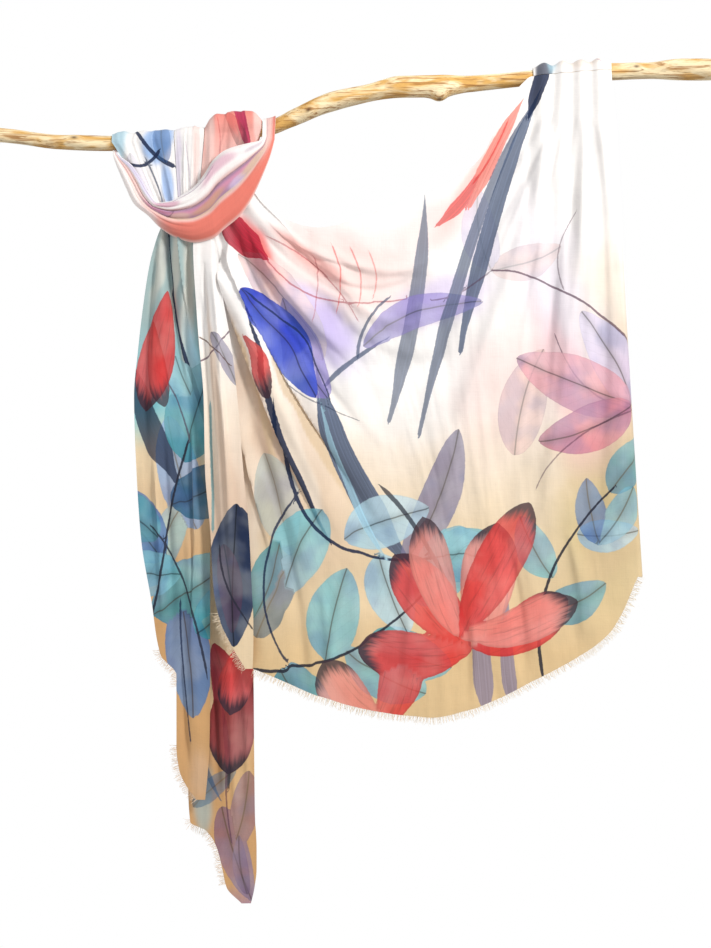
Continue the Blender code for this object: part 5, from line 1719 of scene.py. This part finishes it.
def add_strips():
    """The folded margin and the two tails."""
    for name, table, folds, laps, fringes in STRIPS:
        rows, cols, seed = GRIDS[name]
        grid = strip_grid(table, folds, laps, rows, cols, seed)
        flat = flat_map(grid)
        cloth = add_cloth(name, grid, *flat, seed)
        for fringe, top, bottom in fringes:
            edge, inner, edge_x, edge_z = left_edge(grid, flat, top, bottom)
            dye = dye_along(name, edge_x, edge_z, seed)
            add_fringe(fringe, edge, inner, dye, STRIP_THREADS, seed + FRINGE_SEED)


add_branch()
add_wraps()
add_knot_band()
add_front_panel()
add_peak_wrap()
add_rear_panel()
add_strips()


# ---------------------------------------------------------------- studio

# In metres.
PICTURE_HEIGHT = 1.3272     # what the picture takes in of the branch's plane, from top to bottom
PICTURE_CENTRE = (-0.0623, -0.5418)
CAMERA_AWAY = 3.2
SENSOR = 36                 # millimetres
FLOOR_RADIUS = 1.2
FLOOR_LEVEL = -1.47
FLOOR_SIDES = 48
SCARF_MIDDLE = (-0.05, 0, -0.45)
SOFT_LIGHT = 0.54           # strength of the light from all round
PAPER_LIGHT = 1.0
LAMPS = [
    # name, place, size, power in watts, linear light
    ("key", (1.9, -1.9, 1.3), 0.8, 98, (1.0, 0.985, 0.96)),
    ("fill", (-2.4, -1.8, 0.6), 1.8, 16, (0.96, 0.98, 1.0)),
    ("back", (0.6, 2.4, 0.4), 1.8, 20, (1.0, 1.0, 1.0)),
]


def add_floor():
    turns = [2 * math.pi * k / FLOOR_SIDES for k in range(FLOOR_SIDES)]
    corners = [(math.cos(turn) * FLOOR_RADIUS, math.sin(turn) * FLOOR_RADIUS, FLOOR_LEVEL) for turn in turns]
    mesh = bpy.data.meshes.new("studio_floor")
    mesh.from_pydata(corners, [], [tuple(range(FLOOR_SIDES))])
    mesh.materials.append(studio_paint())
    add_object("studio_floor", mesh)


def add_lamps():
    for name, place, size, power, colour in LAMPS:
        light = bpy.data.lights.new(name, "AREA")
        light.shape = "DISK"
        light.size = size
        light.energy = power
        light.color = colour
        lamp = add_object(name, light)
        lamp.location = place
        aim = Vector(SCARF_MIDDLE) - Vector(place)
        lamp.rotation_euler = aim.to_track_quat("-Z", "Y").to_euler()


def add_paper():
    """White paper behind, lit on its own, brighter than the soft light that reaches the cloth."""
    world = bpy.data.worlds.new("studio")
    world.use_nodes = True
    tree = world.node_tree
    tree.nodes.clear()
    seen = node(tree, "ShaderNodeLightPath", out=0)
    soft = node(tree, "ShaderNodeBackground", {"Color": (1, 1, 1, 1), "Strength": SOFT_LIGHT})
    paper = node(tree, "ShaderNodeBackground", {"Color": (1, 1, 1, 1), "Strength": PAPER_LIGHT})
    both = node(tree, "ShaderNodeMixShader", {0: seen, 1: soft, 2: paper})
    node(tree, "ShaderNodeOutputWorld", {"Surface": both})
    bpy.context.scene.world = world
    bpy.context.scene.view_settings.view_transform = "Standard"


def add_camera():
    lens = bpy.data.cameras.new("camera")
    lens.sensor_fit = "VERTICAL"
    lens.sensor_height = SENSOR
    lens.lens = SENSOR * CAMERA_AWAY / PICTURE_HEIGHT
    camera = add_object("camera", lens)
    camera.location = (PICTURE_CENTRE[0], -CAMERA_AWAY, PICTURE_CENTRE[1])
    camera.rotation_euler = (math.pi / 2, 0, 0)
    bpy.context.scene.camera = camera


add_floor()
add_lamps()
add_paper()
add_camera()
